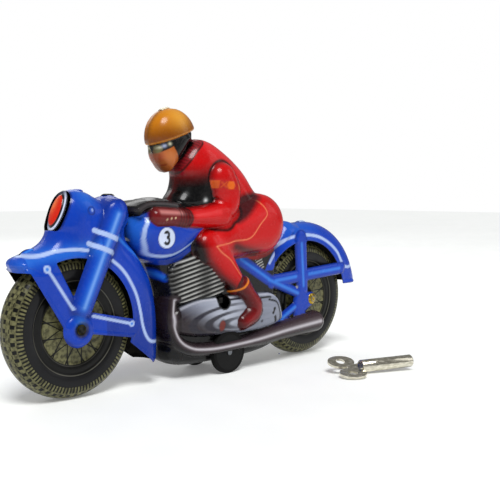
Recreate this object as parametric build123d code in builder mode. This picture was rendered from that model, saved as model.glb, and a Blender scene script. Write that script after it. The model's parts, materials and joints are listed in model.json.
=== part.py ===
from build123d import *

import math
import os

# Tin wind-up motorcycle with rider. The front points to -X, the left side to -Y, and Z=0 is the
# ground. X=0 lies midway between the two wheel axles and Y=0 is the seam between the halves.

# ---- driving dimensions, in millimetres ----
TIN = 0.6  # thickness of the pressed sheet
WHEELBASE = 134.8
TYRE_R = 28.0
AXLE_R = 1.5
EYELET_R = 2.0  # the eyelets in the side plates that hold the axles
FIT = 0.05  # radial running clearance of every turning shaft
GUARD_ROUNDNESS = 5.0  # of the two wheel guards' rims
FRONT_AXLE = (-WHEELBASE / 2, TYRE_R)
REAR_AXLE = (WHEELBASE / 2, TYRE_R)
WELL_R = TYRE_R + 1.5  # radius of the space kept for a wheel
PLATE_INNER = 8.4  # inner face of the flat side plates beside the wheels
PLATE_OUTER = 9.2
HUB_DEPTH = 10.4

STEER_TOP = (-49.0, 77.0)  # the steering axis runs from here to the front axle
STEER_LOW_Z, STEER_HIGH_Z = 60.0, 74.0
BRACKET_HEIGHTS = (65.5, 71.0)  # where the two ears of the steering bracket meet the pin
BRACKET_REACH = 24.0
STEER_PIN_R = 1.5

DRIVE_AXLE = (8.5, 9.5)
DRIVE_WHEEL_R = 9.5
DRIVE_WHEEL_IN, DRIVE_WHEEL_OUT = 9.5, 12.3
ARBOR = (4.8, 32.8)
ARBOR_R = 1.8
SHAFT_R = 1.2
KEYHOLE_R = 3.6
KEYHOLE_FROM, KEYHOLE_DEPTH = 7.0, 8.0
DRIVE_POCKET_GAP = 0.8  # round each drive wheel, in the body sheet
MODULE = 0.6  # of every gear
MAIN_TEETH, PINION_TEETH, SECOND_TEETH, GOVERNOR_TEETH = 38, 10, 26, 8
LEFT_PLATE_Y, RIGHT_PLATE_Y = -5.0, 7.4  # inner faces of the clockwork plates
PLATE_T = 0.8
SHAFT_END = 0.4  # how far a shaft stands out of its plate
WINDING_SQUARE, WINDING_SQUARE_LENGTH = 2.4, 4.2
GEAR_T, PINION_T, GEAR_STAGGER = 1.0, 1.6, 0.3
MAIN_Y, SECOND_Y = 2.2, -0.4  # right faces of the two big gears
RATCHET_TEETH, RATCHET_R, RATCHET_DEPTH, RATCHET_T = 14, 4.6, 0.9, 0.8
SPRING_R, SPRING_CORE_R, SPRING_WIDTH, SPRING_Y = 10.6, 3.4, 4.4, 7.0
GOVERNOR_R, GOVERNOR_T, GOVERNOR_Y, GOVERNOR_ANGLE = 4.4, 2.0, -2.4, 0.0

# ---- the raised shapes of one body half: circles (x, z, radius) joined by their outline,
# how far the sheet stands out from the seam, and how round its edge is ----
BODY_BULGES = [
    ([(-33.0, 62.0, 10.5), (-24.0, 60.5, 10.0), (-5.0, 62.0, 4.0)], 13.0, 5.0),  # tank
    ([(-17.0, 49.5, 5.0), (-17.5, 38.0, 5.0), (-4.0, 52.0, 5.0), (0.0, 38.0, 5.0)], 12.0, 2.0),  # fins
    ([(-16.0, 25.5, 8.2), (30.0, 26.0, 8.5), (36.0, 25.5, 8.0)], 13.0, 2.5),  # engine cover
    ([(4.8, 32.8, 5.6)], 13.0, 0.8),  # flat pad round the keyhole
    ([(-21.5, 31.0, 2.8), (-22.4, 25.0, 2.8)], 11.4, 1.5),  # exhaust pipe, from the front
    ([(-22.4, 25.0, 2.8), (-20.5, 19.0, 2.8)], 11.6, 1.5),
    ([(-20.5, 19.0, 2.8), (-15.0, 14.2, 2.8)], 12.0, 1.5),
    ([(-15.0, 14.2, 2.8), (-6.0, 12.3, 2.8)], 12.8, 1.5),
    ([(-6.0, 12.3, 2.8), (26.0, 12.8, 3.0)], 13.6, 1.5),
    ([(24.0, 12.9, 3.3), (69.0, 16.6, 5.2)], 14.2, 2.2),  # muffler
    ([(-30.0, 70.5, 2.4), (-37.0, 73.5, 2.4)], 12.0, 1.8),  # handlebar end
    ([(-8.0, 94.0, 7.0), (8.0, 87.5, 12.5)], 10.0, 4.5),  # collar and shoulders
    ([(8.0, 87.5, 12.5), (-4.0, 80.0, 9.0), (22.0, 78.0, 13.0)], 11.0, 5.0),  # chest
    ([(-4.0, 80.0, 9.0), (-8.0, 74.0, 6.0), (22.0, 78.0, 13.0), (30.0, 66.0, 15.0)], 11.0, 5.0),  # waist
    ([(-16.3, 103.6, 12.0)], 11.0, 7.0),  # helmet
    ([(-16.3, 103.0, 9.5), (-16.5, 93.5, 5.0), (-10.0, 96.0, 6.5)], 9.5, 4.0),  # head
    ([(2.5, 85.5, 7.4), (5.0, 71.5, 7.4)], 14.5, 4.5),  # upper arm
    ([(-16.0, 69.3, 4.2), (5.0, 71.0, 7.0)], 15.0, 3.5),  # forearm
    ([(-31.0, 70.2, 3.9), (-16.0, 69.3, 4.2)], 14.0, 3.0),  # glove
    ([(-4.5, 57.0, 7.4), (31.0, 65.5, 13.5)], 15.0, 5.0),  # thigh
    ([(-4.5, 57.0, 7.4), (3.0, 51.5, 7.4), (13.0, 40.5, 5.6)], 15.5, 4.5),  # shin
    ([(13.0, 38.5, 5.0), (23.0, 28.5, 5.8)], 16.0, 3.5),  # boot leg
    ([(23.0, 28.5, 5.5), (14.5, 22.4, 4.2)], 16.0, 3.0),  # boot foot
]
FRAME_OUTLINE = [
    (-38.6, 72.0), (-38.0, 65.0), (-34.4, 56.5), (-29.0, 48.0), (-24.4, 36.0), (-22.6, 25.0),
    (-23.2, 14.0), (-21.5, 8.0), (-16.0, 5.2), (24.0, 4.8), (42.0, 8.2), (41.5, 30.0),
    (38.0, 50.0), (30.0, 60.0), (0.0, 68.0), (-22.0, 73.0),
]
FRAME_DEPTH = 9.5
TANK_NOSE_CLEAR = 10.8  # half width kept free for the fork crown between the tank noses

CROWN_DEPTH = 8.6
FRONT_BULGES = [
    ([(-88.3, 53.2, 3.1), (-72.0, 57.5, 4.6), (-56.0, 58.0, 6.0)], 9.2, 2.4),  # fender nose
    ([(-65.5, 71.5, 9.4), (-57.0, 69.0, 9.6)], 11.0, 5.0),  # headlamp
    ([(-60.0, 62.0, 8.0), (-49.0, 69.5, 8.0)], CROWN_DEPTH, 3.6),  # fork crown
    ([(-49.5, 71.5, 5.6), (-65.8, 38.0, 4.7)], 11.4, 3.6),  # fork tube
    ([(-67.4, 28.0, 6.5)], HUB_DEPTH, 2.0),  # hub
]
FENDER_CENTRE, FENDER_R = (-74.3, 22.3), 50.0
FENDER_BOX = (-62.0, 9.5), (-20.0, 64.0)  # the part of the round guard that is kept
TAIL_BOX = (31.0, 35.5), (110.0, 70.0)
FENDER_GAP = 1.7  # between the front fender and the body behind it
TAIL_CENTRE, TAIL_R = (68.5, 27.0), 38.8
TAIL_ARCH_CENTRE, TAIL_ARCH_R = (63.5, 27.0), 29.8
FRONT_STRUTS = [
    [(-67.4, 28.0, 5.8), (-82.6, 52.3, 4.0)],
    [(-65.0, 29.5, 4.6), (-42.0, 25.8, 3.6)],
    [(-67.4, 28.0, 5.2), (-57.0, 52.0, 5.2)],
]
REAR_STRUTS = [
    [(59.3, 57.5, 4.2), (61.0, 32.0, 4.2)],
    [(38.5, 38.6, 3.0), (90.0, 41.6, 3.0)],
    [(17.0, 50.0, 2.8), (35.7, 40.0, 2.8)],
    [(35.7, 40.0, 2.6), (60.0, 30.5, 2.6)],
    [(38.0, 17.0, 2.4), (58.0, 26.5, 2.4)],
    [(60.6, 26.5, 6.2), (67.4, 28.0, 3.6)],
]
KEY_TUBE_R, KEY_TUBE_LENGTH, KEY_SQUARE, KEY_SQUARE_DEPTH = 2.8, 26.0, 2.9, 14.0
KEY_START, KEY_END = (50.8, -51.7, 3.4), (75.6, -61.9, 4.2)  # axis of the key's tube, on the ground
BOW_TILT = 14.0  # one wing of the bow touches the ground, the other stands up
LENS_CENTRE = (-69.3, 74.2)
LENS_R = 7.4
LENS_TILT = 34.0  # degrees that the headlamp looks up


NECK_ROOM = [(-45.0, 78.0), (-32.5, 73.5), (-32.5, 57.0), (-45.0, 52.0)]  # behind the steering pin
NECK_EDGE = [(-45.0, 78.0), (-37.5, 78.0), (-37.5, 54.0), (-45.0, 52.0)]
CROWN_OPENING = [(-49.0, 73.5), (-34.0, 73.5), (-34.0, 59.0), (-49.0, 59.0)]
CROWN_OPENING_DEPTH = 7.0
# the outside of a wheel disc: distance from the axle, distance from the seam
WHEEL_PROFILE = [
    (2.4, 7.8), (3.6, 7.2), (5.0, 5.4), (12.5, 4.6), (15.0, 5.2), (17.6, 5.4), (19.0, 6.2),
    (23.0, 6.3), (25.4, 5.6), (27.2, 3.6), (28.0, 0.02),
]
HUB_TUBE_R, HUB_TUBE_HALF = 2.4, 7.8

# ---- shapes used more than once ----
def outline(circles):
    """The outline that wraps the circles, in the sketch that is open."""
    for x, z, r in circles:
        with Locations((x, z)):
            Circle(r)
    if len(circles) > 1:
        make_hull()


def pressing(circles, depth, roundness):
    """A solid that stands out from the seam to the left, with a rounded rim."""
    with BuildPart() as bulge:
        with BuildSketch(Plane.XZ):
            outline(circles)
        extrude(amount=depth)
        fillet(bulge.edges().group_by(Axis.Y)[0], roundness)
    return bulge.part


def flat_outline(points, depth, inset):
    """A straight-sided solid over a closed outline, drawn in by inset all round."""
    with BuildPart() as slab:
        with BuildSketch(Plane.XZ):
            with BuildLine():
                Polyline(*points, close=True)
            make_face()
            if inset:
                offset(amount=-inset, kind=Kind.INTERSECTION, mode=Mode.REPLACE)
        extrude(amount=depth)
    return slab.part


def round_guard(centre, radius, depth, arch, arch_r, low, high):
    """A wheel guard: a drum with a rounded rim, kept above its arch and inside a box."""
    with BuildPart() as guard:
        with BuildSketch(Plane.XZ):
            with Locations(centre):
                Circle(radius)
        extrude(amount=depth)
        fillet(guard.edges().group_by(Axis.Y)[0], GUARD_ROUNDNESS)
        with BuildSketch(Plane.XZ):
            with Locations(arch):
                Circle(arch_r)
        extrude(amount=depth + 1, mode=Mode.SUBTRACT)
        with BuildSketch(Plane.XZ):
            with Locations(((low[0] + high[0]) / 2, (low[1] + high[1]) / 2)):
                Rectangle(high[0] - low[0], high[1] - low[1])
        extrude(amount=depth + 1, mode=Mode.INTERSECT)
    return guard.part


def hollow(circles):
    """The same circles, drawn in by the thickness of the sheet."""
    return [(x, z, r - TIN) for x, z, r in circles]


def across(point, y):
    """A plane that faces left, with its middle at (x, z) and y."""
    return Plane(origin=(point[0], y, point[1]), x_dir=(1, 0, 0), z_dir=(0, -1, 0))


def tooth_points(teeth, first_angle):
    """Outline of a gear with plain straight-sided teeth, one of them at first_angle."""
    pitch_r = MODULE * teeth / 2
    step = 2 * math.pi / teeth
    corners = [(-0.27, -1.1), (-0.13, 0.75), (0.13, 0.75), (0.27, -1.1)]
    points = []
    for tooth in range(teeth):
        for along, height in corners:
            angle = math.radians(first_angle) + step * (tooth + along)
            r = pitch_r + height * MODULE
            points.append((r * math.cos(angle), r * math.sin(angle)))
    return points


def gear(centre, teeth, first_angle, y_right, thickness, bore_r):
    """A gear of the clockwork, its right face at y_right."""
    with BuildPart() as wheel:
        with BuildSketch(across(centre, y_right)):
            with BuildLine():
                Polyline(*tooth_points(teeth, first_angle), close=True)
            make_face()
            Circle(bore_r, mode=Mode.SUBTRACT)
        extrude(amount=thickness)
    return wheel.part


def rod(centre, radius, y_right, y_left):
    """A round bar across the toy."""
    with BuildPart() as bar:
        with BuildSketch(across(centre, y_right)):
            Circle(radius)
        extrude(amount=y_right - y_left)
    return bar.part


def heading(start, end):
    """The angle in degrees from one (x, z) point to another."""
    return math.degrees(math.atan2(end[1] - start[1], end[0] - start[0]))


def third_centre(a, b, from_a, from_b):
    """The point at the two given distances from a and b, on the rear side."""
    gap = math.dist(a, b)
    along = (from_a**2 - from_b**2 + gap**2) / (2 * gap)
    aside = math.sqrt(from_a**2 - along**2)
    ux, uz = (b[0] - a[0]) / gap, (b[1] - a[1]) / gap
    return (a[0] + along * ux - aside * uz, a[1] + along * uz + aside * ux)


def save(part, name):
    """Names a finished piece and writes it."""
    part.label = name
    export_step(part, f"parts/{name}.step")


os.makedirs("parts", exist_ok=True)

# ---- body halves: rider, tank, engine, exhaust, rear fender and frame in one sheet each ----
outer_bulges = [pressing(*bulge) for bulge in BODY_BULGES]
inner_bulges = [pressing(hollow(c), depth - TIN, edge - TIN / 2) for c, depth, edge in BODY_BULGES]
frame_outer = flat_outline(FRAME_OUTLINE, FRAME_DEPTH, 0)
frame_inner = flat_outline(FRAME_OUTLINE, FRAME_DEPTH - TIN, TIN)
tail_outer = round_guard(TAIL_CENTRE, TAIL_R, PLATE_OUTER, TAIL_ARCH_CENTRE, TAIL_ARCH_R, *TAIL_BOX)
tail_inner = round_guard(
    TAIL_CENTRE, TAIL_R - TIN, PLATE_OUTER - TIN, TAIL_ARCH_CENTRE, TAIL_ARCH_R - 2 * TIN, *TAIL_BOX
)

with BuildPart() as body_half:
    add(frame_outer)
    add(tail_outer)
    for bulge in outer_bulges:
        add(bulge)
    add(frame_inner, mode=Mode.SUBTRACT)
    add(tail_inner, mode=Mode.SUBTRACT)
    for bulge in inner_bulges:
        add(bulge, mode=Mode.SUBTRACT)
    # room for the rear wheel, then the flat struts that carry its axle
    with BuildSketch(Plane.XZ):
        with Locations(REAR_AXLE):
            Circle(WELL_R)
    extrude(amount=PLATE_INNER, mode=Mode.SUBTRACT)
    for strut in REAR_STRUTS:
        with BuildSketch(Plane.XZ.offset(PLATE_INNER)):
            outline(strut)
        extrude(amount=PLATE_OUTER - PLATE_INNER)
    with BuildSketch(Plane.XZ):
        with Locations(REAR_AXLE):
            Circle(EYELET_R)
    extrude(amount=HUB_DEPTH, mode=Mode.SUBTRACT)
    # pocket for a drive wheel under the engine
    with BuildSketch(across(DRIVE_AXLE, 0)):
        Circle(DRIVE_WHEEL_R + DRIVE_POCKET_GAP)
    extrude(amount=DRIVE_WHEEL_OUT + 0.5, mode=Mode.SUBTRACT)
    # the neck is open round the steering pin, so that the fork can turn
    with BuildSketch(Plane.XZ):
        with BuildLine():
            Polyline(*NECK_ROOM, close=True)
        make_face()
    extrude(amount=FRAME_DEPTH - TIN, mode=Mode.SUBTRACT)
    with BuildSketch(Plane.XZ):
        with BuildLine():
            Polyline(*NECK_EDGE, close=True)
        make_face()
        with Locations(FENDER_CENTRE):
            Circle(FENDER_R + FENDER_GAP)
    extrude(amount=TANK_NOSE_CLEAR, mode=Mode.SUBTRACT)

with BuildPart() as body_shell_left:
    add(body_half.part)
    with BuildSketch(across(ARBOR, -KEYHOLE_FROM)):
        Circle(KEYHOLE_R)
    extrude(amount=KEYHOLE_DEPTH, mode=Mode.SUBTRACT)

with BuildPart() as body_shell_right:
    mirror(body_half.part, about=Plane.XZ)

save(body_shell_left.part, "body_shell_left")
save(body_shell_right.part, "body_shell_right")

# ---- front halves: headlamp, fork, front fender and its struts in one sheet each ----
fender_outer = round_guard(
    FENDER_CENTRE, FENDER_R, PLATE_OUTER, FRONT_AXLE, TYRE_R - 1.0, *FENDER_BOX
)
fender_inner = round_guard(
    FENDER_CENTRE, FENDER_R - TIN, PLATE_OUTER - TIN, FRONT_AXLE, TYRE_R - 1.0 - TIN, *FENDER_BOX
)

with BuildPart() as front_half:
    add(fender_outer)
    for bulge in FRONT_BULGES:
        add(pressing(*bulge))
    add(fender_inner, mode=Mode.SUBTRACT)
    for circles, depth, edge in FRONT_BULGES:
        add(pressing(hollow(circles), depth - TIN, edge - TIN / 2), mode=Mode.SUBTRACT)
    # room for the front wheel, then the flat struts
    with BuildSketch(Plane.XZ):
        with Locations(FRONT_AXLE):
            Circle(WELL_R)
    extrude(amount=PLATE_INNER, mode=Mode.SUBTRACT)
    for strut in FRONT_STRUTS:
        with BuildSketch(Plane.XZ.offset(PLATE_INNER)):
            outline(strut)
        extrude(amount=PLATE_OUTER - PLATE_INNER)
    with BuildSketch(Plane.XZ):
        with Locations(FRONT_AXLE):
            Circle(EYELET_R)
    extrude(amount=HUB_DEPTH + 1, mode=Mode.SUBTRACT)
    # the lens seat is cut square to the lamp's tilt
    lens_plane = Plane(
        origin=(LENS_CENTRE[0], 0, LENS_CENTRE[1]),
        x_dir=(0, 1, 0),
        z_dir=(-math.cos(math.radians(LENS_TILT)), 0, math.sin(math.radians(LENS_TILT))),
    )
    with BuildSketch(lens_plane):
        Circle(LENS_R + 9)
    extrude(amount=12, mode=Mode.SUBTRACT)
    # the back of the crown is open, so that the neck of the body can reach the pin
    with BuildSketch(Plane.XZ):
        with BuildLine():
            Polyline(*CROWN_OPENING, close=True)
        make_face()
    extrude(amount=CROWN_OPENING_DEPTH, mode=Mode.SUBTRACT)

with BuildPart() as front_shell_left:
    add(front_half.part)

with BuildPart() as front_shell_right:
    mirror(front_half.part, about=Plane.XZ)

save(front_shell_left.part, "front_shell_left")
save(front_shell_right.part, "front_shell_right")

# ---- headlamp lens: a domed disc that closes the lamp ----
with BuildPart() as headlamp_lens:
    with BuildSketch(lens_plane.offset(0.2)):
        Circle(LENS_R)
    extrude(amount=0.8)
    with BuildSketch(lens_plane.offset(1.0)):
        Circle(LENS_R - 1.0)
    extrude(amount=1.2, taper=30)
save(headlamp_lens.part, "headlamp_lens")

# ---- steering: a pin in the fork, and the bracket of the body that turns on it ----
steer_up = Vector(STEER_TOP[0] - FRONT_AXLE[0], 0, STEER_TOP[1] - FRONT_AXLE[1]).normalized()


def steering_plane(z):
    """A plane square to the steering axis where the axis passes the given height."""
    x = FRONT_AXLE[0] + (z - FRONT_AXLE[1]) * steer_up.X / steer_up.Z
    return Plane(origin=(x, 0, z), x_dir=(steer_up.Z, 0, -steer_up.X), z_dir=steer_up)


with BuildPart() as steering_pin:
    with BuildSketch(steering_plane(STEER_LOW_Z)):
        Circle(STEER_PIN_R)
    extrude(amount=(STEER_HIGH_Z - STEER_LOW_Z) / steer_up.Z)
    for z in (STEER_LOW_Z, STEER_HIGH_Z):
        with BuildSketch(steering_plane(z)):
            Circle(STEER_PIN_R + 1.1)
        extrude(amount=1.0)
save(steering_pin.part, "steering_pin")

with BuildPart() as fork_crosspieces:
    for z in (STEER_LOW_Z + 1.1, STEER_HIGH_Z - 1.2):
        with BuildSketch(steering_plane(z)):
            RectangleRounded(7.0, 2 * (CROWN_DEPTH - TIN), 2.0)
            Circle(STEER_PIN_R, mode=Mode.SUBTRACT)
        extrude(amount=0.8)
save(fork_crosspieces.part, "fork_crosspieces")

with BuildPart() as steering_bracket:
    for z in BRACKET_HEIGHTS:
        with BuildSketch(steering_plane(z)):
            Circle(3.2)
            with Locations((BRACKET_REACH, 0)):
                Rectangle(1.6, 6.4)
            make_hull()
            Circle(STEER_PIN_R + FIT, mode=Mode.SUBTRACT)
        extrude(amount=0.8)
    with BuildSketch(steering_plane(BRACKET_HEIGHTS[0])):
        with Locations((BRACKET_REACH, 0)):
            Rectangle(1.6, 2 * (FRAME_DEPTH - TIN))
    extrude(amount=(BRACKET_HEIGHTS[1] - BRACKET_HEIGHTS[0]) / steer_up.Z + 0.8)
save(steering_bracket.part, "steering_bracket")


# ---- wheels: two dished discs on a hub tube, turning on a fixed axle ----
def wheel_half(side):
    """Half of a road wheel about the Y axis, made of dished sheet. side is -1 for the left."""
    inner = [(r - (TIN if r > 20 else 0.0), y - (TIN if r < 27.5 else 0.0)) for r, y in WHEEL_PROFILE]
    with BuildPart() as half:
        with BuildSketch(Plane.XY):
            with BuildLine():
                outer_points = [(r, side * y) for r, y in WHEEL_PROFILE]
                inner_points = [(r, side * y) for r, y in reversed(inner)]
                Polyline(*outer_points, *inner_points, close=True)
            make_face()
        revolve(axis=Axis.Y)
    return half.part


def at_axle(part, axle):
    """A part that was drawn about the Y axis, put on an axle."""
    return part.moved(Location((axle[0], 0, axle[1])))


for end, axle, flange_r in (("front", FRONT_AXLE, EYELET_R), ("rear", REAR_AXLE, EYELET_R + 0.7)):
    for side_name, side in (("left", -1), ("right", 1)):
        save(at_axle(wheel_half(side), axle), f"{end}_wheel_{side_name}")

    with BuildPart() as hub_tube:
        with BuildSketch(across(axle, HUB_TUBE_HALF)):
            Circle(HUB_TUBE_R)
            Circle(AXLE_R + FIT, mode=Mode.SUBTRACT)
        extrude(amount=2 * HUB_TUBE_HALF)
    save(hub_tube.part, f"{end}_hub_tube")

    with BuildPart() as wheel_axle:
        with BuildSketch(across(axle, HUB_DEPTH)):
            Circle(AXLE_R)
        extrude(amount=2 * HUB_DEPTH)
    save(wheel_axle.part, f"{end}_axle")

    with BuildPart() as axle_eyelets:
        for side in (-1, 1):
            for radius, start, length in ((EYELET_R, PLATE_INNER - 0.2, 1.4), (flange_r, PLATE_OUTER, 1.0)):
                with BuildSketch(across(axle, side * start)):
                    Circle(radius)
                    Circle(AXLE_R, mode=Mode.SUBTRACT)
                extrude(amount=-side * length)
    save(axle_eyelets.part, f"{end}_axle_eyelets")

# ---- clockwork frame ----
second_centre = third_centre(
    DRIVE_AXLE, ARBOR,
    MODULE * (SECOND_TEETH + PINION_TEETH) / 2, MODULE * (MAIN_TEETH + PINION_TEETH) / 2,
)
governor_reach = MODULE * (SECOND_TEETH + GOVERNOR_TEETH) / 2
governor_centre = (
    second_centre[0] + governor_reach * math.cos(math.radians(GOVERNOR_ANGLE)),
    second_centre[1] + governor_reach * math.sin(math.radians(GOVERNOR_ANGLE)),
)
PILLARS = [(-11.0, 24.0), (-8.0, 42.0), (22.0, 40.0), (34.0, 18.0)]


def motor_plate(y_right):
    """A flat plate with holes for the shafts and pillars."""
    with BuildPart() as plate:
        with BuildSketch(Plane.XZ.offset(-y_right)):
            with Locations(*PILLARS):
                Circle(3.2)
            with Locations(DRIVE_AXLE):
                Circle(4.0)
            make_hull()
            with Locations(ARBOR):
                Circle(ARBOR_R + FIT, mode=Mode.SUBTRACT)
            with Locations(DRIVE_AXLE, second_centre, governor_centre):
                Circle(SHAFT_R + FIT, mode=Mode.SUBTRACT)
            with Locations(*PILLARS):
                Circle(1.5, mode=Mode.SUBTRACT)
        extrude(amount=PLATE_T)
    return plate.part


save(motor_plate(LEFT_PLATE_Y), "motor_plate_left")
save(motor_plate(RIGHT_PLATE_Y + PLATE_T), "motor_plate_right")

with BuildPart() as motor_pillars:
    for pillar in PILLARS:
        add(rod(pillar, 1.5, FRAME_DEPTH - TIN, TIN - FRAME_DEPTH))
        add(rod(pillar, 2.4, RIGHT_PLATE_Y, LEFT_PLATE_Y))
save(motor_pillars.part, "motor_pillars")

# ---- going train ----
shaft_right = RIGHT_PLATE_Y + PLATE_T + SHAFT_END
shaft_left = LEFT_PLATE_Y - PLATE_T - SHAFT_END
to_second = heading(ARBOR, second_centre)
second_to_drive = heading(second_centre, DRIVE_AXLE)
second_to_governor = heading(second_centre, governor_centre)


def facing_gap(angle, teeth):
    """First tooth angle that turns a gap towards the neighbour seen at angle."""
    return angle + 180.0 + 180.0 / teeth


save(gear(ARBOR, MAIN_TEETH, to_second, MAIN_Y, GEAR_T, ARBOR_R + FIT), "main_gear")

with BuildPart() as winding_arbor:
    add(rod(ARBOR, ARBOR_R, shaft_right, shaft_left))
    with BuildSketch(across(ARBOR, shaft_left)):
        Rectangle(WINDING_SQUARE, WINDING_SQUARE)
    extrude(amount=WINDING_SQUARE_LENGTH)
save(winding_arbor.part, "winding_arbor")

with BuildPart() as ratchet_wheel:
    with BuildSketch(across(ARBOR, MAIN_Y - GEAR_T - 0.1)):
        with BuildLine():
            saw = []
            for tooth in range(RATCHET_TEETH):
                angle = 2 * math.pi * tooth / RATCHET_TEETH
                for r in (RATCHET_R - RATCHET_DEPTH, RATCHET_R):
                    saw.append((r * math.cos(angle), r * math.sin(angle)))
            Polyline(*saw, close=True)
        make_face()
        Circle(ARBOR_R, mode=Mode.SUBTRACT)
    extrude(amount=RATCHET_T)
save(ratchet_wheel.part, "ratchet_wheel")

CLICK_PIVOT = (ARBOR[0] - 7.4, ARBOR[1] + 1.2)
click_plane = across(CLICK_PIVOT, MAIN_Y - GEAR_T - 0.1)
with BuildPart() as click:
    with BuildSketch(click_plane):
        with BuildLine():
            Polyline((-1.5, 0.0), (0.0, -1.5), (1.2, 1.0), (2.9, 3.6), (1.6, 4.3), (-0.8, 1.5), close=True)
        make_face()
        Circle(0.6 + FIT, mode=Mode.SUBTRACT)
    extrude(amount=RATCHET_T)
save(click.part, "click")

with BuildPart() as click_rivet:
    with BuildSketch(across(CLICK_PIVOT, MAIN_Y - GEAR_T)):
        Circle(0.6)
    extrude(amount=1.1)
    with BuildSketch(across(CLICK_PIVOT, MAIN_Y - GEAR_T - 1.1)):
        Circle(1.2)
    extrude(amount=0.3)
save(click_rivet.part, "click_rivet")

with BuildPart() as click_spring:
    with BuildSketch(click_plane):
        with BuildLine():
            Polyline(
                (-2.3, -3.8), (-2.0, -3.8), (-1.95, 0.0), (-0.4, 3.6), (-0.7, 3.7), (-2.25, 0.1),
                close=True,
            )
        make_face()
        with Locations((-2.1, -4.3)):
            Circle(0.8)
    extrude(amount=RATCHET_T)
save(click_spring.part, "click_spring")

with BuildPart() as mainspring:
    with BuildSketch(across(ARBOR, SPRING_Y)):
        Circle(SPRING_R)
        Circle(SPRING_CORE_R, mode=Mode.SUBTRACT)
    extrude(amount=SPRING_WIDTH)
save(mainspring.part, "mainspring")

with BuildPart() as mainspring_core:
    with BuildSketch(across(ARBOR, SPRING_Y)):
        Circle(SPRING_CORE_R)
        Circle(ARBOR_R, mode=Mode.SUBTRACT)
        with Locations((0, -2.6)):
            Rectangle(8, 4, mode=Mode.SUBTRACT)
    extrude(amount=SPRING_WIDTH)
save(mainspring_core.part, "mainspring_core")

save(rod(second_centre, SHAFT_R, shaft_right, shaft_left), "second_arbor")
save(
    gear(
        second_centre, PINION_TEETH, facing_gap(to_second, PINION_TEETH), MAIN_Y + GEAR_STAGGER, PINION_T,
        SHAFT_R,
    ),
    "second_pinion",
)
save(gear(second_centre, SECOND_TEETH, second_to_drive, SECOND_Y, GEAR_T, SHAFT_R), "second_gear")

save(rod(DRIVE_AXLE, SHAFT_R, DRIVE_WHEEL_OUT + 0.3, -DRIVE_WHEEL_OUT - 0.3), "drive_axle")
save(
    gear(
        DRIVE_AXLE, PINION_TEETH, facing_gap(second_to_drive, PINION_TEETH), SECOND_Y + GEAR_STAGGER,
        PINION_T, SHAFT_R,
    ),
    "drive_pinion",
)

# the governor pinion turns a gap to whichever tooth of the second gear lies nearest its line
step_angle = 360.0 / SECOND_TEETH
offset_angle = (second_to_governor - second_to_drive) % step_angle
governor_first = (
    second_to_governor + 180.0 + 180.0 / GOVERNOR_TEETH + offset_angle * SECOND_TEETH / GOVERNOR_TEETH
)
save(rod(governor_centre, SHAFT_R, shaft_right, shaft_left), "governor_arbor")
save(
    gear(governor_centre, GOVERNOR_TEETH, governor_first, SECOND_Y + GEAR_STAGGER, PINION_T, SHAFT_R),
    "governor_pinion",
)
with BuildPart() as governor_wheel:
    with BuildSketch(across(governor_centre, GOVERNOR_Y)):
        Circle(GOVERNOR_R)
        Circle(SHAFT_R, mode=Mode.SUBTRACT)
        with PolarLocations(3.0, 4):
            Circle(0.8, mode=Mode.SUBTRACT)
    extrude(amount=GOVERNOR_T)
save(governor_wheel.part, "governor_wheel")

for side_name, side in (("left", -1), ("right", 1)):
    with BuildPart() as drive_wheel:
        near = side * (DRIVE_WHEEL_OUT if side > 0 else DRIVE_WHEEL_IN)
        with BuildSketch(across(DRIVE_AXLE, near)):
            Circle(DRIVE_WHEEL_R - 1.6)
            Circle(SHAFT_R, mode=Mode.SUBTRACT)
        extrude(amount=DRIVE_WHEEL_OUT - DRIVE_WHEEL_IN)
    save(drive_wheel.part, f"drive_wheel_{side_name}")
    with BuildPart() as drive_tyre:
        with BuildSketch(across(DRIVE_AXLE, near)):
            Circle(DRIVE_WHEEL_R)
            Circle(DRIVE_WHEEL_R - 1.6, mode=Mode.SUBTRACT)
        extrude(amount=DRIVE_WHEEL_OUT - DRIVE_WHEEL_IN)
        fillet(drive_tyre.edges().filter_by(GeomType.CIRCLE).sort_by(SortBy.RADIUS)[-2:], 0.6)
    save(drive_tyre.part, f"drive_tyre_{side_name}")

# ---- key: a tube rolled to a square inside, with a flat bow ----
key_dir = (Vector(*KEY_END) - Vector(*KEY_START)).normalized()
key_side = Vector(0, 0, 1).cross(key_dir).normalized()
key_plane = Plane(origin=KEY_START, x_dir=tuple(key_side), z_dir=tuple(key_dir))
with BuildPart() as key_tube:
    with BuildSketch(key_plane):
        Circle(KEY_TUBE_R)
    extrude(amount=KEY_TUBE_LENGTH)
    with BuildSketch(key_plane.offset(KEY_TUBE_LENGTH)):
        Rectangle(KEY_SQUARE, KEY_SQUARE)
    extrude(amount=-KEY_SQUARE_DEPTH, mode=Mode.SUBTRACT)
save(key_tube.part, "key_tube")

# the bow lies in the plane of the tube's axis, turned about that axis by its tilt
bow_normal = key_side.cross(key_dir).rotate(Axis((0, 0, 0), tuple(key_dir)), BOW_TILT)
bow_plane = Plane(origin=KEY_START, x_dir=tuple(key_dir), z_dir=tuple(bow_normal))
with BuildPart() as key_bow:
    with BuildSketch(bow_plane):
        with Locations((-6.6, -5.6), (-6.6, 5.6)):
            Ellipse(6.2, 4.9)
        with Locations((-3.0, 0)):
            Rectangle(6.0, 5.0)
        with Locations((-6.8, -5.8), (-6.8, 5.8)):
            Circle(1.8, mode=Mode.SUBTRACT)
    extrude(amount=0.5, both=True)
save(key_bow.part, "key_bow")
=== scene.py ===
import json
import math

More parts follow.
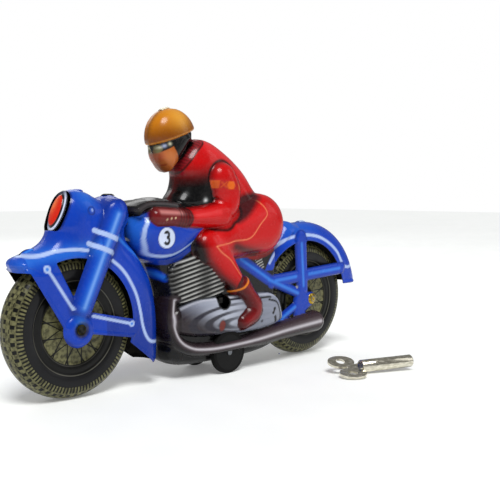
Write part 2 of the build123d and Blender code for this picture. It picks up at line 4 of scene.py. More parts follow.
import bmesh
import bpy
import numpy as np
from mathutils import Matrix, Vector


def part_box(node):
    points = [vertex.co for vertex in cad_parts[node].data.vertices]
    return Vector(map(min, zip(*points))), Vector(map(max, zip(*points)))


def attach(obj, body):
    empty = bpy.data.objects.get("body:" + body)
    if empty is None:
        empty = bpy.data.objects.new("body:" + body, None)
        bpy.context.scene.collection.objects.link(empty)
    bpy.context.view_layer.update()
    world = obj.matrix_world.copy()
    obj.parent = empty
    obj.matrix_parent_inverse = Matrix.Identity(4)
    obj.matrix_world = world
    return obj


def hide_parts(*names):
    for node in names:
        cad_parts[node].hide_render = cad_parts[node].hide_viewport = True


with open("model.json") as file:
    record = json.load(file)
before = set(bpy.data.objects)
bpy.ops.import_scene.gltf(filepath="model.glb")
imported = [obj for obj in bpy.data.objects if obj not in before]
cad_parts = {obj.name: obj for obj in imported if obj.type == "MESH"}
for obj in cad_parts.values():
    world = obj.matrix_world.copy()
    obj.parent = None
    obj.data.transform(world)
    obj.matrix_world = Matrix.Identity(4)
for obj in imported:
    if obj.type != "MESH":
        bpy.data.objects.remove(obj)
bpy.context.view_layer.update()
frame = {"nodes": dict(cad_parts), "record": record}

# Outlines are in millimetres in the frame's own X and Z; heights are distances from the seam.
MM = 0.001
LEFT, RIGHT = -1, 1
SHEET = 0.3  # shown thickness of the tin
STEP = 0.42  # spacing of the pressed sheets' grid


def centre_of(node):
    """Middle of a CAD node, as (x, z) in millimetres."""
    low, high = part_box(node)
    return ((low[0] + high[0]) / 2 / MM, (low[2] + high[2]) / 2 / MM)


FRONT_AXLE = centre_of("front_axle")
REAR_AXLE = centre_of("rear_axle")
ARBOR = centre_of("winding_arbor")


# ---------------------------------------------------------------- distances in the side view
def dist_point(x, z, p):
    return np.hypot(x - p[0], z - p[1])


def dist_capsule(x, z, a, b, ra, rb=None):
    """Signed distance to a bar with round ends, its radius changing from ra to rb."""
    rb = ra if rb is None else rb
    dx, dz = b[0] - a[0], b[1] - a[1]
    t = np.clip(((x - a[0]) * dx + (z - a[1]) * dz) / (dx * dx + dz * dz), 0, 1)
    return np.hypot(x - a[0] - t * dx, z - a[1] - t * dz) - (ra + (rb - ra) * t)


def smooth_path(points, closed=False, parts=6):
    """A curve through the points, as a denser list."""
    p = np.array(points, float)
    if closed:
        p = np.vstack([p[-1], p, p[0], p[1]])
    else:
        p = np.vstack([2 * p[0] - p[1], p, 2 * p[-1] - p[-2]])
    out = []
    for a, b, c, d in zip(p, p[1:], p[2:], p[3:]):
        bend, twist = 2 * a - 5 * b + 4 * c - d, 3 * b - 3 * c + d - a
        out += [0.5 * (2 * b + (c - a) * s + bend * s**2 + twist * s**3) for s in np.arange(parts) / parts]
    if not closed:
        out.append(p[-2])
    return np.array(out)


def dist_path(x, z, path):
    """Distance to an open path, and how far along it the nearest point is, from 0 to 1."""
    best = np.full(x.shape, 1e9)
    along = np.zeros(x.shape)
    count = len(path) - 1
    for i in range(count):
        (ax, az), (bx, bz) = path[i], path[i + 1]
        dx, dz = bx - ax, bz - az
        t = np.clip(((x - ax) * dx + (z - az) * dz) / (dx * dx + dz * dz + 1e-12), 0, 1)
        d = np.hypot(x - ax - t * dx, z - az - t * dz)
        near = d < best
        best = np.where(near, d, best)
        along = np.where(near, (i + t) / count, along)
    return best, along


def dist_shape(x, z, outline):
    """Signed distance to a closed outline, negative inside."""
    ring = np.vstack([outline, outline[:1]])
    best, _ = dist_path(x, z, ring)
    inside = np.zeros(x.shape, bool)
    for (ax, az), (bx, bz) in zip(ring[:-1], ring[1:]):
        if az == bz:
            continue
        crosses = ((az > z) != (bz > z)) & (x < (bx - ax) * (z - az) / (bz - az) + ax)
        inside ^= crosses
    return np.where(inside, -best, best)


def dome(d, radius, power=2.2):
    """0 at the edge of a shape, rising to 1 at radius inside it."""
    t = np.clip(-d / radius, 0, 1)
    return (1 - (1 - t) ** power) ** (1 / power)


def blend_max(a, b, soft):
    """The larger of two heights, with a fillet where they meet."""
    h = np.clip(0.5 + 0.5 * (a - b) / soft, 0, 1)
    return b + (a - b) * h + soft * h * (1 - h)


def raised(h, d, base, rise, rounding, soft, reach=0.0, power=2.2):
    """The height h with a round-topped feature added where the distance d is under reach."""
    return blend_max(h, np.where(d < reach, base + rise * dome(d, rounding, power), 0), soft)


def bell(value, wide):
    """1 at a value of 0, fading softly on both sides."""
    return np.exp(-(value / wide) ** 2)


def rolled_bead(sheet):
    """Height of the rounded bead just inside an open edge."""
    return 0.35 * bell(sheet + 0.7, 0.5)


def edge(d, soft=0.3):
    """1 inside a shape and 0 outside, with a narrow blend."""
    return np.clip(0.5 - d / soft, 0, 1)


def fade(value, start, end):
    """0 at start and 1 at end, smooth between them."""
    t = np.clip((value - start) / (end - start), 0, 1)
    return t * t * (3 - 2 * t)


# ---------------------------------------------------------------- colours
def colour(text):
    """Linear colour from a hex string."""
    parts = [int(text[i : i + 2], 16) / 255 for i in (0, 2, 4)]
    return np.array([c / 12.92 if c < 0.04045 else ((c + 0.055) / 1.055) ** 2.4 for c in parts])


# Lit and shaded copies of the main tones: the _LIGHT and _TOP tones serve for painted highlights, the _DEEP
# and _LOW tones and MAROON for painted shade; BLUE_LIGHT, BLUE_DEEP and MAROON also print lines, outlines
# and ribs.
BLUE, BLUE_DEEP, BLUE_LIGHT = colour("063bb2"), colour("041a62"), colour("2f7ce2")
STRIPE, BLACK, DARK = colour("abc0ec"), colour("020203"), colour("09090b")
RED, RED_DEEP, RED_LIGHT, MAROON = colour("c20407"), colour("420306"), colour("ea3a3e"), colour("0f0203")
HELMET, HELMET_LOW, HELMET_TOP = colour("c87808"), colour("6e3003"), colour("e2a43e")
SKIN, CHEEK, SKIN_LOW = colour("b35f29"), colour("c6452a"), colour("552610")
SILVER, SILVER_DARK, BROWN = colour("868b9b"), colour("24222d"), colour("1e0f11")
PIPE, PIPE_LIGHT = colour("1b1216"), colour("c4c0c6")
KHAKI, KHAKI_DARK, TYRE_BLACK, CHARCOAL = (
    colour("74724f"), colour("3c3a28"), colour("080807"), colour("151517"),
)


class Paint:
    """Colours of the printed sheet, with the highlights and shade painted into it, one for each of its
    points.
    """

    def __init__(self, x, z, first):
        self.x, self.z = x, z
        self.rgb = np.tile(first, (len(x), 1))

    def over(self, tint, amount):
        """Lays a colour, or its hex string, over what is there."""
        tint = colour(tint) if isinstance(tint, str) else tint
        k = np.clip(amount, 0, 1)[:, None]
        self.rgb = self.rgb * (1 - k) + tint * k

    def dot(self, middle, radius):
        return edge(dist_point(self.x, self.z, middle) - radius)

    def stroke(self, a, b, radius, soft=0.3):
        return edge(dist_capsule(self.x, self.z, a, b, radius), soft)

    def line(self, path, wide, soft=0.3):
        return edge(dist_path(self.x, self.z, smooth_path(path))[0] - wide, soft)

    def spot(self, middle, wide):
        """A soft round patch."""
        return bell(dist_point(self.x, self.z, middle), wide)

    def glow(self, path, wide):
        """A soft band along a path."""
        return bell(dist_path(self.x, self.z, path)[0], wide)


# ---------------------------------------------------------------- outlines of the front halves
FRONT_OUTER = smooth_path([
    (-90.4, 50.6), (-91.7, 53.0), (-90.9, 55.4), (-87.8, 56.9), (-82.5, 58.7), (-77.8, 61.2),
    (-75.2, 64.6), (-75.2, 68.0), (-73.2, 75.0), (-69.6, 79.6), (-64.5, 81.0), (-60.0, 80.2),
    (-56.6, 78.6), (-53.8, 77.5), (-51.0, 78.3), (-47.8, 79.0), (-44.3, 77.8), (-41.6, 74.6),
    (-40.8, 70.5), (-42.0, 65.6), (-41.5, 61.4), (-37.6, 57.0), (-33.2, 51.0), (-29.4, 44.0),
    (-27.2, 36.0), (-26.2, 28.0), (-26.0, 20.0), (-26.2, 13.0), (-26.8, 9.6), (-32.0, 6.0),
    (-50.0, 8.0), (-75.0, 25.0), (-88.0, 44.0),
], closed=True)
LENS_MID = (-70.8, 72.8)
LENS_UP = math.radians(23)
FORK_TOP, FORK_END = (-50.0, 72.0), (-66.2, 37.0)
FRONT_PLATE, REAR_PLATE = 9.0, 9.0
FRONT_ARCH, FRONT_ARCH_R = (-68.5, 29.0), 26.3
HUB_PLATE, RIVET = (-68.0, 27.6), (-61.3, 73.0)
DOWN_TUBE = [(-50.0, 63.0), (-38.0, 54.2), (-23.5, 43.3)]


def lens_depth(x, z):
    """Distance in front of the lens plane."""
    return -(x - LENS_MID[0]) * math.cos(LENS_UP) + (z - LENS_MID[1]) * math.sin(LENS_UP)


def lens_rise(x, z):
    """Distance up the lens plane from the lens's middle."""
    return (x - LENS_MID[0]) * math.sin(LENS_UP) + (z - LENS_MID[1]) * math.cos(LENS_UP)


def front_struts(x, z):
    """The three flat bars that reach the front axle."""
    return np.minimum.reduce([
        dist_capsule(x, z, (-69.5, 30.0), (-83.2, 53.6), 4.6, 5.4),
        dist_capsule(x, z, (-64.0, 30.2), (-42.5, 25.7), 4.2, 3.7),
        dist_capsule(x, z, FORK_END, (-57.0, 57.0), 4.9, 5.1),
        dist_point(x, z, HUB_PLATE) - 6.7,
    ])


def front_sheet(x, z):
    """Signed distance to the front half's outline, windows and open edges included."""
    outer = dist_shape(x, z, FRONT_OUTER)
    arch = dist_point(x, z, FRONT_ARCH) - FRONT_ARCH_R
    nose_under = np.maximum(z - 50.6, x + 76.0)
    tail_under = -((x + 46.6) * -0.627 + (z - 22.5) * -0.779)
    tail_under = np.maximum(tail_under, z - 30.0)
    opened = np.minimum.reduce([arch, nose_under, tail_under, z - 9.6])
    sheet = np.maximum(outer, -opened)
    sheet = np.minimum(sheet, front_struts(x, z))
    sheet = np.maximum(sheet, np.minimum(lens_depth(x, z), lens_rise(x, z) + 8.2))
    return np.maximum(sheet, 1.7 - dist_point(x, z, FRONT_AXLE))


def front_height(x, z):
    """How far the front half stands out from the seam."""
    outer = dist_shape(x, z, FRONT_OUTER)
    h = FRONT_PLATE * dome(outer, 9.5)
    struts = front_struts(x, z)
    flat = (FRONT_PLATE - 0.3) * (1 - fade(z, 50.0, 58.0))
    h = np.maximum(h, np.where(struts < 0.6, flat + 0.5 * dome(struts, 1.2) * (z < 50), 0))
    h = lamp_bulb(x, z, h)
    h = raised(h, dist_capsule(x, z, (-58.0, 66.0), (-48.6, 70.8), 7.4, 7.8), 0, 9.6, 6.5, 1.0)
    h = raised(h, dist_capsule(x, z, FORK_TOP, FORK_END, 5.2, 4.8), 8.2, 3.4, 4.6, 0.7, power=2.0)
    h = raised(h, dist_point(x, z, (-49.2, 73.2)) - 4.6, 8.0, 3.4, 4.0, 0.7)
    h = raised(h, dist_point(x, z, HUB_PLATE) - 6.4, 8.4, 2.3, 3.4, 0.7)
    well = dist_point(x, z, FRONT_AXLE)
    h = h - 1.1 * (1 - fade(well, 2.4, 3.4)) * (well < 4)
    h = h + 0.35 * dome(dist_point(x, z, RIVET) - 1.3, 0.9)
    open_edge = (outer < -3.5) & (lens_depth(x, z) < -1.5)
    h = h + np.where(open_edge, rolled_bead(front_sheet(x, z)), 0)
    return np.where(outer > -0.02, np.where(struts < 0.3, h, 0), h)


def lamp_bulb(x, z, h):
    """Adds the headlamp, a round bulb about its own tilted axis."""
    ahead, up = math.cos(LENS_UP), math.sin(LENS_UP)
    front, middle, back = [(LENS_MID[0] + d * ahead, LENS_MID[1] - d * up) for d in (-4, 6, 17)]
    reach, along = dist_path(x, z, [front, middle, back])
    girth = np.interp(along, (0, 0.45, 1), (7.5, 9.2, 8.0))
    broad = np.interp(along, (0, 0.19, 0.62, 1), (0.54, 0.58, 1.0, 1.12))
    return blend_max(h, broad * np.sqrt(np.clip(girth**2 - reach**2, 0, None)), 0.6)


def paint_front(x, z, side):
    """Blue litho print with pale lines, painted highlights along the top, on the fork and on the hub, and
    painted shade low down and at the fork's sides.
    """
    p = Paint(x, z, BLUE)
    outer = dist_shape(x, z, FRONT_OUTER)
    # painted highlights along the fender's top, on the lamp's top and on the fender's nose
    p.over(BLUE_LIGHT, 0.55 * bell(z - (59.0 + 0.12 * (x + 60)), 3.0) * (x < -58) * (x > -88))
    p.over(BLUE_LIGHT, 0.5 * p.spot((-62, 79), 5.0))
    p.over(BLUE_LIGHT, 0.35 * p.spot((-89.5, 53.5), 3.0))
    # painted shade, darker towards the bottom
    p.over(BLUE_DEEP, 0.45 * fade(-z, -50, -20) * (x > -55))
    fork, _ = dist_path(x, z, [FORK_TOP, FORK_END])
    # painted shade at the sides of the fork tube
    p.over(BLUE_DEEP, 0.55 * edge(fork - 6.2, 2.0) * fade(fork, 2.5, 5.5))
    shine = [(-50.6, 71.5), (-66.8, 36.5)]
    on_fork = edge(fork - 5.0, 1.0)
    p.over(BLUE_LIGHT, 0.85 * p.glow(shine, 1.7) * on_fork)
    p.over("8fb8f4", 0.5 * p.glow(shine, 0.7) * on_fork)
    p.over(BLUE_LIGHT, 0.8 * p.line(DOWN_TUBE, 0.75, 0.6) * (x > -51) * (z < 64))
    paint_front_lines(p)
    p.over(BLUE_DEEP, 0.7 * edge(np.abs(dist_point(x, z, RIVET) - 1.5) - 0.25))
    p.over(STRIPE, 0.6 * p.dot((-61.1, 73.2), 0.6))
    p.over(BLUE_DEEP, 0.8 * edge(-lens_depth(x, z) - 0.5) * (z > 66) * (x < -62))
    p.over("3a3524", 0.9 * p.dot(FRONT_AXLE, 3.1))
    p.over(BLACK, 0.9 * p.dot(FRONT_AXLE, 2.2))
    p.over(BLUE_DEEP, 0.5 * bell(dist_point(x, z, FRONT_AXLE) - 3.0, 0.8))
    # painted highlight on the hub plate
    p.over(BLUE_LIGHT, 0.5 * p.spot((-68.0, 31.0), 2.4))
    p.over(BLUE_DEEP, 0.6 * edge(-outer - 0.7, 0.5) * (z < 30))
    return p.rgb


def paint_front_lines(p):
    """Pale bands of the fork, lines of the fender and bars with a knob."""
    for a, b in (((-60.6, 65.6), (-50.2, 61.6)), ((-63.0, 60.6), (-52.2, 56.4))):
        p.over(STRIPE, p.stroke(a, b, 0.95))
    nose = [(-91.5, 57.3), (-86.5, 56.6), (-82.0, 56.8), (-76.0, 58.2), (-69.0, 58.6), (-63.4, 58.0)]
    tail = [(-51.8, 53.4), (-48.0, 50.4), (-44.4, 46.2), (-40.6, 39.4), (-38.6, 32.5), (-37.4, 26.5),
            (-35.6, 21.8), (-33.0, 19.2), (-27.8, 18.5)]
    p.over(STRIPE, p.line(nose, 0.68))
    p.over(STRIPE, p.line(tail, 0.66))
    for a, b, knob in (((-70.6, 36.2), (-81.0, 51.8), 1.5), ((-61.6, 32.6), (-43.0, 27.6), 1.3)):
        p.over(STRIPE, p.stroke(a, b, 0.6))
        p.over(STRIPE, p.dot(b, knob))
        p.over(BLUE_LIGHT, p.dot(b, 0.6))


# ---------------------------------------------------------------- outlines of the body halves
MACHINE = smooth_path([
    (-39.5, 71.5), (-40.4, 74.4), (-34.0, 76.8), (-26.0, 78.0), (-16.0, 76.5), (0.0, 74.0),
    (24.0, 70.0), (38.0, 62.0), (43.0, 52.0), (42.3, 38.0), (42.5, 24.0), (42.0, 10.5),
    (36.0, 6.6), (20.0, 4.9), (0.0, 4.9), (-14.0, 5.4), (-20.5, 7.6), (-22.8, 13.0),
    (-22.4, 24.0), (-24.2, 36.0), (-28.4, 48.0), (-33.4, 57.0), (-37.0, 64.5),
], closed=True)
TORSO = smooth_path([
    (-17.0, 76.5), (-13.8, 81.5), (-12.6, 86.0), (-12.9, 89.8), (-12.0, 95.0), (-7.4, 100.4),
    (-2.4, 102.8), (2.6, 102.4), (8.0, 100.2), (16.5, 95.2), (23.8, 89.4), (29.8, 82.6), (34.4, 78.8),
    (40.5, 75.4), (44.6, 70.4), (46.2, 64.0), (44.8, 58.4), (40.6, 53.8), (34.0, 50.6),
    (24.0, 50.0), (8.0, 58.0), (-6.0, 66.0), (-14.0, 71.0),
], closed=True)
HELMET_MID, HELMET_R = (-15.2, 103.2), 11.9
EXHAUST = smooth_path([
    (-22.0, 34.8), (-22.8, 29.5), (-22.6, 23.0), (-20.0, 17.3), (-14.4, 13.7), (-7.0, 12.3),
    (4.0, 11.9), (25.0, 12.8), (45.0, 14.8), (69.5, 16.6),
])
SEAT = np.array([(38, 50), (47.5, 62.0), (50.5, 65.6), (56, 66.4), (66, 64), (50, 52)], float)
TAIL_MID, TAIL_R = (68.5, 27.0), 38.7
TAIL_ARCH, TAIL_ARCH_R = (63.3, 27.0), 29.7
TANK = smooth_path([
    (-40.6, 64.5), (-40.0, 68.6), (-37.6, 71.6), (-34.0, 73.2), (-24.0, 73.6), (-12.0, 71.0),
    (0.0, 66.0), (-2.5, 62.3), (-11.0, 56.0), (-18.0, 52.2), (-26.5, 50.2), (-32.2, 52.0),
    (-36.4, 56.2), (-39.4, 60.4),
], closed=True)
FINS = smooth_path([
    (-24.5, 49.0), (-12.0, 53.5), (-2.0, 50.5), (6.5, 41.5), (5.0, 35.0), (-9.0, 33.6),
    (-20.0, 33.5), (-23.6, 37.5),
], closed=True, parts=3)
COVER = smooth_path([
    (-24.2, 26.0), (-22.0, 30.8), (-16.0, 33.2), (-8.0, 34.6), (4.0, 34.8), (18.0, 34.4),
    (34.0, 34.2), (40.6, 31.4), (43.2, 26.5), (43.6, 20.4), (33.5, 17.6), (17.5, 16.9),
    (0.0, 17.6), (-12.5, 18.9), (-20.6, 21.4),
], closed=True)
BAR = smooth_path([(-40.5, 71.8), (-35.0, 74.4), (-28.0, 74.6), (-20.0, 74.0)])
ARM = smooth_path([(6.0, 86.0), (8.2, 80.5), (8.2, 75.0), (5.0, 71.4)])
FOREARM = smooth_path([(4.0, 70.2), (-6.0, 69.6), (-16.0, 69.3)])
GLOVE = smooth_path([(-17.0, 69.4), (-24.0, 70.0), (-31.5, 70.2)])
THIGH = smooth_path([(31.0, 65.4), (16.0, 62.0), (2.0, 58.6), (-4.0, 57.4)])
SHIN = smooth_path([(-3.0, 56.6), (1.8, 53.6), (7.8, 46.4), (13.8, 39.4)])
BOOT = smooth_path([(16.0, 38.8), (19.8, 34.4), (23.2, 29.5), (22.2, 25.6), (16.6, 22.5)])


def limb(x, z, path, radii):
    """Signed distance to a limb whose radius runs through radii along the path."""
    d, along = dist_path(x, z, path)
    return d - np.interp(along, np.linspace(0, 1, len(radii)), radii)


def limb_shapes(x, z):
    """Signed distances to the rider's raised limbs, by name."""
    return {
        "thigh": limb(x, z, THIGH, (14.2, 11.6, 9.0, 7.8)),
        "shin": limb(x, z, SHIN, (7.6, 7.2, 6.2, 4.9)),
        "boot": limb(x, z, BOOT, (4.9, 4.3, 5.1, 5.3, 4.2)),
        "arm": limb(x, z, ARM, (7.2, 7.8, 7.4, 6.2)),
        "forearm": limb(x, z, FOREARM, (6.0, 4.8, 4.0)),
        "glove": limb(x, z, GLOVE, (4.2, 3.8, 4.0)),
    }


def rear_struts(x, z):
    """The flat bars that carry the rear axle."""
    return np.minimum.reduce([
        dist_capsule(x, z, (59.2, 58.0), (61.0, 33.0), 4.2, 3.9),
        dist_capsule(x, z, (38.5, 38.4), (90.5, 41.8), 3.1, 3.1),
        dist_capsule(x, z, (17.0, 50.4), (35.7, 40.0), 2.7),
        dist_capsule(x, z, (35.7, 40.0), (60.0, 30.8), 2.5),
        dist_capsule(x, z, (40.0, 17.4), (58.0, 26.2), 2.3),
        dist_capsule(x, z, (60.6, 26.8), REAR_AXLE, 6.0, 3.4),
        dist_point(x, z, (59.0, 22.0)) - 4.4,
    ])


def tail_guard(x, z):
    """The rear fender's blade between its crown and its arch."""
    crown = dist_point(x, z, TAIL_MID) - TAIL_R
    seat = dist_shape(x, z, SEAT)
    crown = np.minimum(crown, seat)
    arch = dist_point(x, z, TAIL_ARCH) - TAIL_ARCH_R
    opened = np.minimum.reduce([arch, np.maximum(z - 33.6, 58 - x), np.maximum(z - 44.0, x - 45.0)])
    return np.maximum(crown, -opened), crown


def muffler(x, z):
    return dist_capsule(x, z, (36.0, 14.0), (68.4, 16.8), 4.0, 5.3)


def helmet_round(x, z):
    return dist_point(x, z, HELMET_MID) - HELMET_R


def body_sheet(x, z, keyhole):
    """Signed distance to a body half's outline."""
    parts = [dist_shape(x, z, outline) for outline in (MACHINE, TORSO, TANK, HEAD)]
    parts += [tail_guard(x, z)[0], rear_struts(x, z), helmet_round(x, z), muffler(x, z)]
    parts.append(dist_path(x, z, EXHAUST[:44])[0] - 2.7)
    parts += limb_shapes(x, z).values()
    sheet = np.minimum.reduce(parts)
    sheet = np.maximum(sheet, 1.6 - dist_point(x, z, REAR_AXLE))
    if keyhole:
        sheet = np.maximum(sheet, 3.3 - dist_point(x, z, ARBOR))
    return sheet


HEAD = smooth_path([
    (-24.6, 101.0), (-24.7, 97.6), (-24.4, 95.2), (-23.6, 93.2), (-22.2, 91.4), (-20.4, 89.4),
    (-18.2, 88.2), (-15.8, 90.0), (-12.8, 93.4), (-9.0, 98.2), (-6.4, 103.5), (-12.0, 108.0),
    (-21.0, 106.6),
], closed=True)


def helmet_line(x, z):
    """Above 0 over the helmet's lower edge."""
    return (z - 98.6) * 0.94 - (x + 28.0) * 0.34


def pipe_radius(along, end):
    """Radius of the exhaust along its path, widening to the muffler's end."""
    return np.interp(along, (0, 0.75, 0.8, 1), (2.9, 3.1, 4.0, end))


def machine_height(x, z):
    """How far the machine's own parts stand out from the seam, without the rider."""
    h = 9.4 * dome(dist_shape(x, z, MACHINE), 3.5)
    guard, crown = tail_guard(x, z)
    h = blend_max(h, np.where(guard < 0.5, REAR_PLATE * dome(crown, 9.5), 0), 0.5)
    struts = rear_struts(x, z)
    bars = np.where(struts < 0.6, REAR_PLATE - 0.6 + 1.1 * dome(struts, 2.4), 0)
    h = np.where(struts < 0.6, np.maximum(bars, h), h)
    h = raised(h, dist_shape(x, z, TANK), 0, 13.0, 8.5, 0.8)
    fins = dist_shape(x, z, FINS)
    h = raised(h, fins, 8.5, 3.3, 2.5, 0.5, reach=0.3)
    h = h + 0.3 * edge(fins + 0.8, 1.0) * np.cos(2 * np.pi * fin_level(x, z))
    cover = dist_shape(x, z, COVER)
    h = raised(h, cover, 9.0, 3.9, 4.0, 0.5, reach=0.3)
    h = h + 0.3 * dome(cover + 4.5, 1.0) + 0.3 * dome(cover + 7.0, 1.0)
    pipe, along = dist_path(x, z, EXHAUST)
    wide = pipe_radius(along, 5.4)
    reach = np.interp(along, (0, 0.15, 0.45, 0.75, 1), (10.6, 11.2, 13.4, 14.0, 14.0))
    h = raised(h, pipe - wide, 8.4, reach - 8.4, wide, 0.4, power=2.0)
    return np.where((muffler(x, z) < 0.4) & (h < 8.5), 8.4, h)


def body_height(x, z):
    """How far a body half stands out from the seam."""
    h = machine_height(x, z)
    h = raised(h, dist_shape(x, z, TORSO), 0, 9.6, 10.0, 1.2)
    h = raised(h, dist_shape(x, z, HEAD), 0, 7.2, 6.5, 0.8)
    helmet, cut = helmet_round(x, z), helmet_line(x, z)
    cap = 8.2 * dome(helmet, 11.2, 2.0) + 0.4 * fade(cut, 0, 0.8)
    h = blend_max(h, np.where((helmet < 0.6) & (cut > 0), cap, 0), 0.5)
    h = raised(h, dist_path(x, z, BAR)[0] - 2.2, 7.5, 3.2, 2.2, 0.4)
    limbs = limb_shapes(x, z)
    for name, base, top, rounding in (
        ("thigh", 6.0, 15.0, 9.0), ("shin", 9.5, 15.6, 6.8), ("boot", 10.5, 16.0, 4.6),
        ("arm", 8.0, 14.6, 6.6), ("forearm", 9.5, 15.0, 5.2), ("glove", 9.5, 14.2, 3.8),
    ):
        h = raised(h, limbs[name], base, top - base, rounding, 0.5, power=2.0)
    sheet = body_sheet(x, z, False)
    guard, crown = tail_guard(x, z)
    closed = [dist_shape(x, z, outline) for outline in (MACHINE, TORSO, TANK, HEAD)]
    closed_rim = np.minimum.reduce([*closed, crown, helmet])
    flat_rim = (limbs["glove"] < 0.4) | (rear_struts(x, z) < 0.4) | (muffler(x, z) < 0.4)
    open_rim = (guard < 0.4) & (crown < -3)
    h = h + np.where(open_rim & (sheet > -2), rolled_bead(sheet), 0)
    return np.where((closed_rim > -0.05) & ~flat_rim & (sheet > -0.05), 0, h)


FIN_PITCH = 1.9
FIN_SLOPE = 0.21


def fin_level(x, z):
    """Counts the cylinder's fins from below."""
    return (z - FIN_SLOPE * x) / FIN_PITCH


def paint_cylinder(p):
    """Fins as bright lines that fade to black at both ends."""
    x, z = p.x, p.z
    fins = dist_shape(x, z, FINS)
    shine = 0.5 + 0.5 * np.cos(2 * np.pi * fin_level(x, z))
    glint = bell(x + 14.5, 6.0) + 0.9 * bell(x - 1.5, 4.2) + 0.12
    p.over(BLACK, edge(fins))
    p.over("cfcfcb", edge(fins + 0.4) * shine**3.5 * np.clip(glint, 0, 0.85))
    p.over(BLACK, 0.9 * fade(x, -3, 9) * edge(fins) * fade(z, 30, 44))


def cover_ring(x, z, inset):
    """A ring inside the engine cover that draws in mostly from the front."""
    mid, half = (12.0 + inset * 0.9, 24.6 - inset * 0.22), (36.0 - inset * 2.1, 9.4 - inset * 0.72)
    return (np.hypot((x - mid[0]) / half[0], (z - mid[1]) / half[1]) - 1) * half[1]


def paint_cover(p):
    """Engine cover with its rings, screws, slots and keyhole, a painted sheen in its middle and a painted
    highlight along its upper rim.
    """
    x, z = p.x, p.z
    cover = dist_shape(x, z, COVER)
    p.over(SILVER, edge(cover))
    # painted sheen, a lighter patch in the middle of the cover
    p.over("cdd2e0", 0.5 * edge(cover) * p.spot((6, 27), 11.0))
    p.over(BROWN, 0.95 * edge(cover) * fade(-(x * 0.55 + (z - 24) * 1.0), -5.0, 8.0))
    for inset in (3.4, 6.4, 9.4):
        ring = np.abs(cover_ring(x, z, inset)) - 0.55
        p.over(SILVER_DARK, 0.95 * edge(ring) * edge(cover + 0.5) * fade(-x, -26, -2))
    # painted highlight along the cover's upper rim
    p.over("d9dce6", 0.35 * edge(np.abs(cover + 0.9) - 0.4) * fade(z, 26, 33))
    p.over(BLACK, 0.9 * edge(np.abs(cover) - 0.35))
    for spot in ((-21.0, 30.2), (-23.0, 26.6)):
        for tint, radius in ((SILVER_DARK, 1.4), (SILVER, 0.95), (DARK, 0.45)):
            p.over(tint, p.dot(spot, radius))
    oval = np.hypot((x - 3.4) / 1.7, (z - 22.0) / 2.4) - 1
    p.over(SILVER_DARK, 0.6 * edge(oval - 0.25, 0.4))
    p.over("6e2820", edge(oval))
    p.over(SILVER_DARK, p.stroke((7.0, 32.9), (16.0, 33.2), 0.5))
    p.over(DARK, p.stroke((26.0, 32.4), (34.5, 32.0), 0.45))
    p.over(DARK, p.line([(33.0, 31.0), (38.2, 29.4), (40.4, 25.0), (40.8, 20.5)], 0.4))
    p.over(DARK, p.stroke((36.6, 26.6), (35.6, 24.6), 0.7))
    p.over(DARK, p.stroke((37.2, 22.6), (37.8, 20.6), 0.7))
    p.over(SILVER, 0.8 * p.dot((28.4, 21.4), 1.5))
    p.over(DARK, 0.8 * p.dot((28.4, 21.4), 0.7))
    p.over(BLACK, p.dot(ARBOR, 4.0))


def paint_machine(p):
    """Frame with a painted sheen, cylinder, engine cover and the saddle springs behind the leg."""
    # painted sheen, a lighter patch on the black frame
    p.over("1c1a1e", 0.7 * p.spot((-30, 40), 9.0))
    p.over(BLUE, p.line(DOWN_TUBE, 1.3))
    p.over(BLUE_LIGHT, 0.8 * p.line(DOWN_TUBE, 0.6, 0.8))
    paint_cylinder(p)
    paint_cover(p)
    for turn in range(7):
        x, z = 28.0 + 0.5 * turn, 52.4 - 1.15 * turn
        p.over("c9c9c6", 0.9 * p.stroke((x - 1.6, z - 0.7), (x + 2.0, z + 0.5), 0.22))


def paint_exhaust(p):
    """Dark brown pipe and muffler with one long painted highlight and painted shade along the underside."""
    pipe, along = dist_path(p.x, p.z, EXHAUST)
    on_pipe = edge(pipe - pipe_radius(along, 5.5))
    p.over(PIPE, on_pipe)
    p.over("3a2a30", 0.6 * on_pipe * fade(along, 0.55, 0.95))
    # painted shade along the pipe's underside
    p.over(BLACK, 0.8 * on_pipe * p.glow(EXHAUST - (0.0, 2.6), 1.8))
    girth = np.interp(along, (0, 0.7, 1), (1.0, 1.1, 1.9))
    highlight = EXHAUST + (0.0, 0.6)
    p.over("524449", 0.75 * on_pipe * p.glow(highlight, 1.2 * girth))
    p.over(PIPE_LIGHT, 0.95 * on_pipe * p.glow(highlight, 0.42 * girth))


def paint_tank(p, side):
    """Tank with its pale line, a painted highlight at its front, painted shade below, and the racing number
    on a disc.
    """
    x, z = p.x, p.z
    tank = dist_shape(x, z, TANK)
    p.over(BLUE, edge(tank))
    # painted highlight at the tank's front
    p.over(BLUE_LIGHT, 0.65 * edge(tank) * bell(x + 40.0, 3.2))
    # painted shade, darker towards the tank's underside
    p.over(BLUE_DEEP, 0.5 * edge(tank) * fade(-z, -56, -50))
    stripe = [(-35.4, 69.4), (-37.2, 65.5), (-37.2, 61.5), (-35.6, 57.9), (-33.6, 54.9), (-28.3, 54.0),
              (-21.6, 54.8), (-13.3, 58.4), (-3.0, 63.0)]
    p.over(STRIPE, p.line(stripe, 0.62) * edge(tank + 0.5))
    mid = (-27.7, 61.6)
    p.over(BLUE_DEEP, 0.6 * p.dot(mid, 4.6))
    p.over("d4dff8", p.dot(mid, 4.2))
    # the number: an upper and a lower open loop, read from outside on both sides
    u, v = -side * (x - mid[0]), z - mid[1]
    for centre, radius, start, end in ((1.25, 1.15, 160.0, -90), (-1.1, 1.35, 88.0, -155)):
        angle = np.degrees(np.arctan2(v - centre, u))
        on_arc = (angle > end) & (angle < start)
        arc = np.where(on_arc, np.abs(np.hypot(u * 1.12, v - centre) - radius), 9.0)
        p.over(BLACK, edge(arc - 0.62))


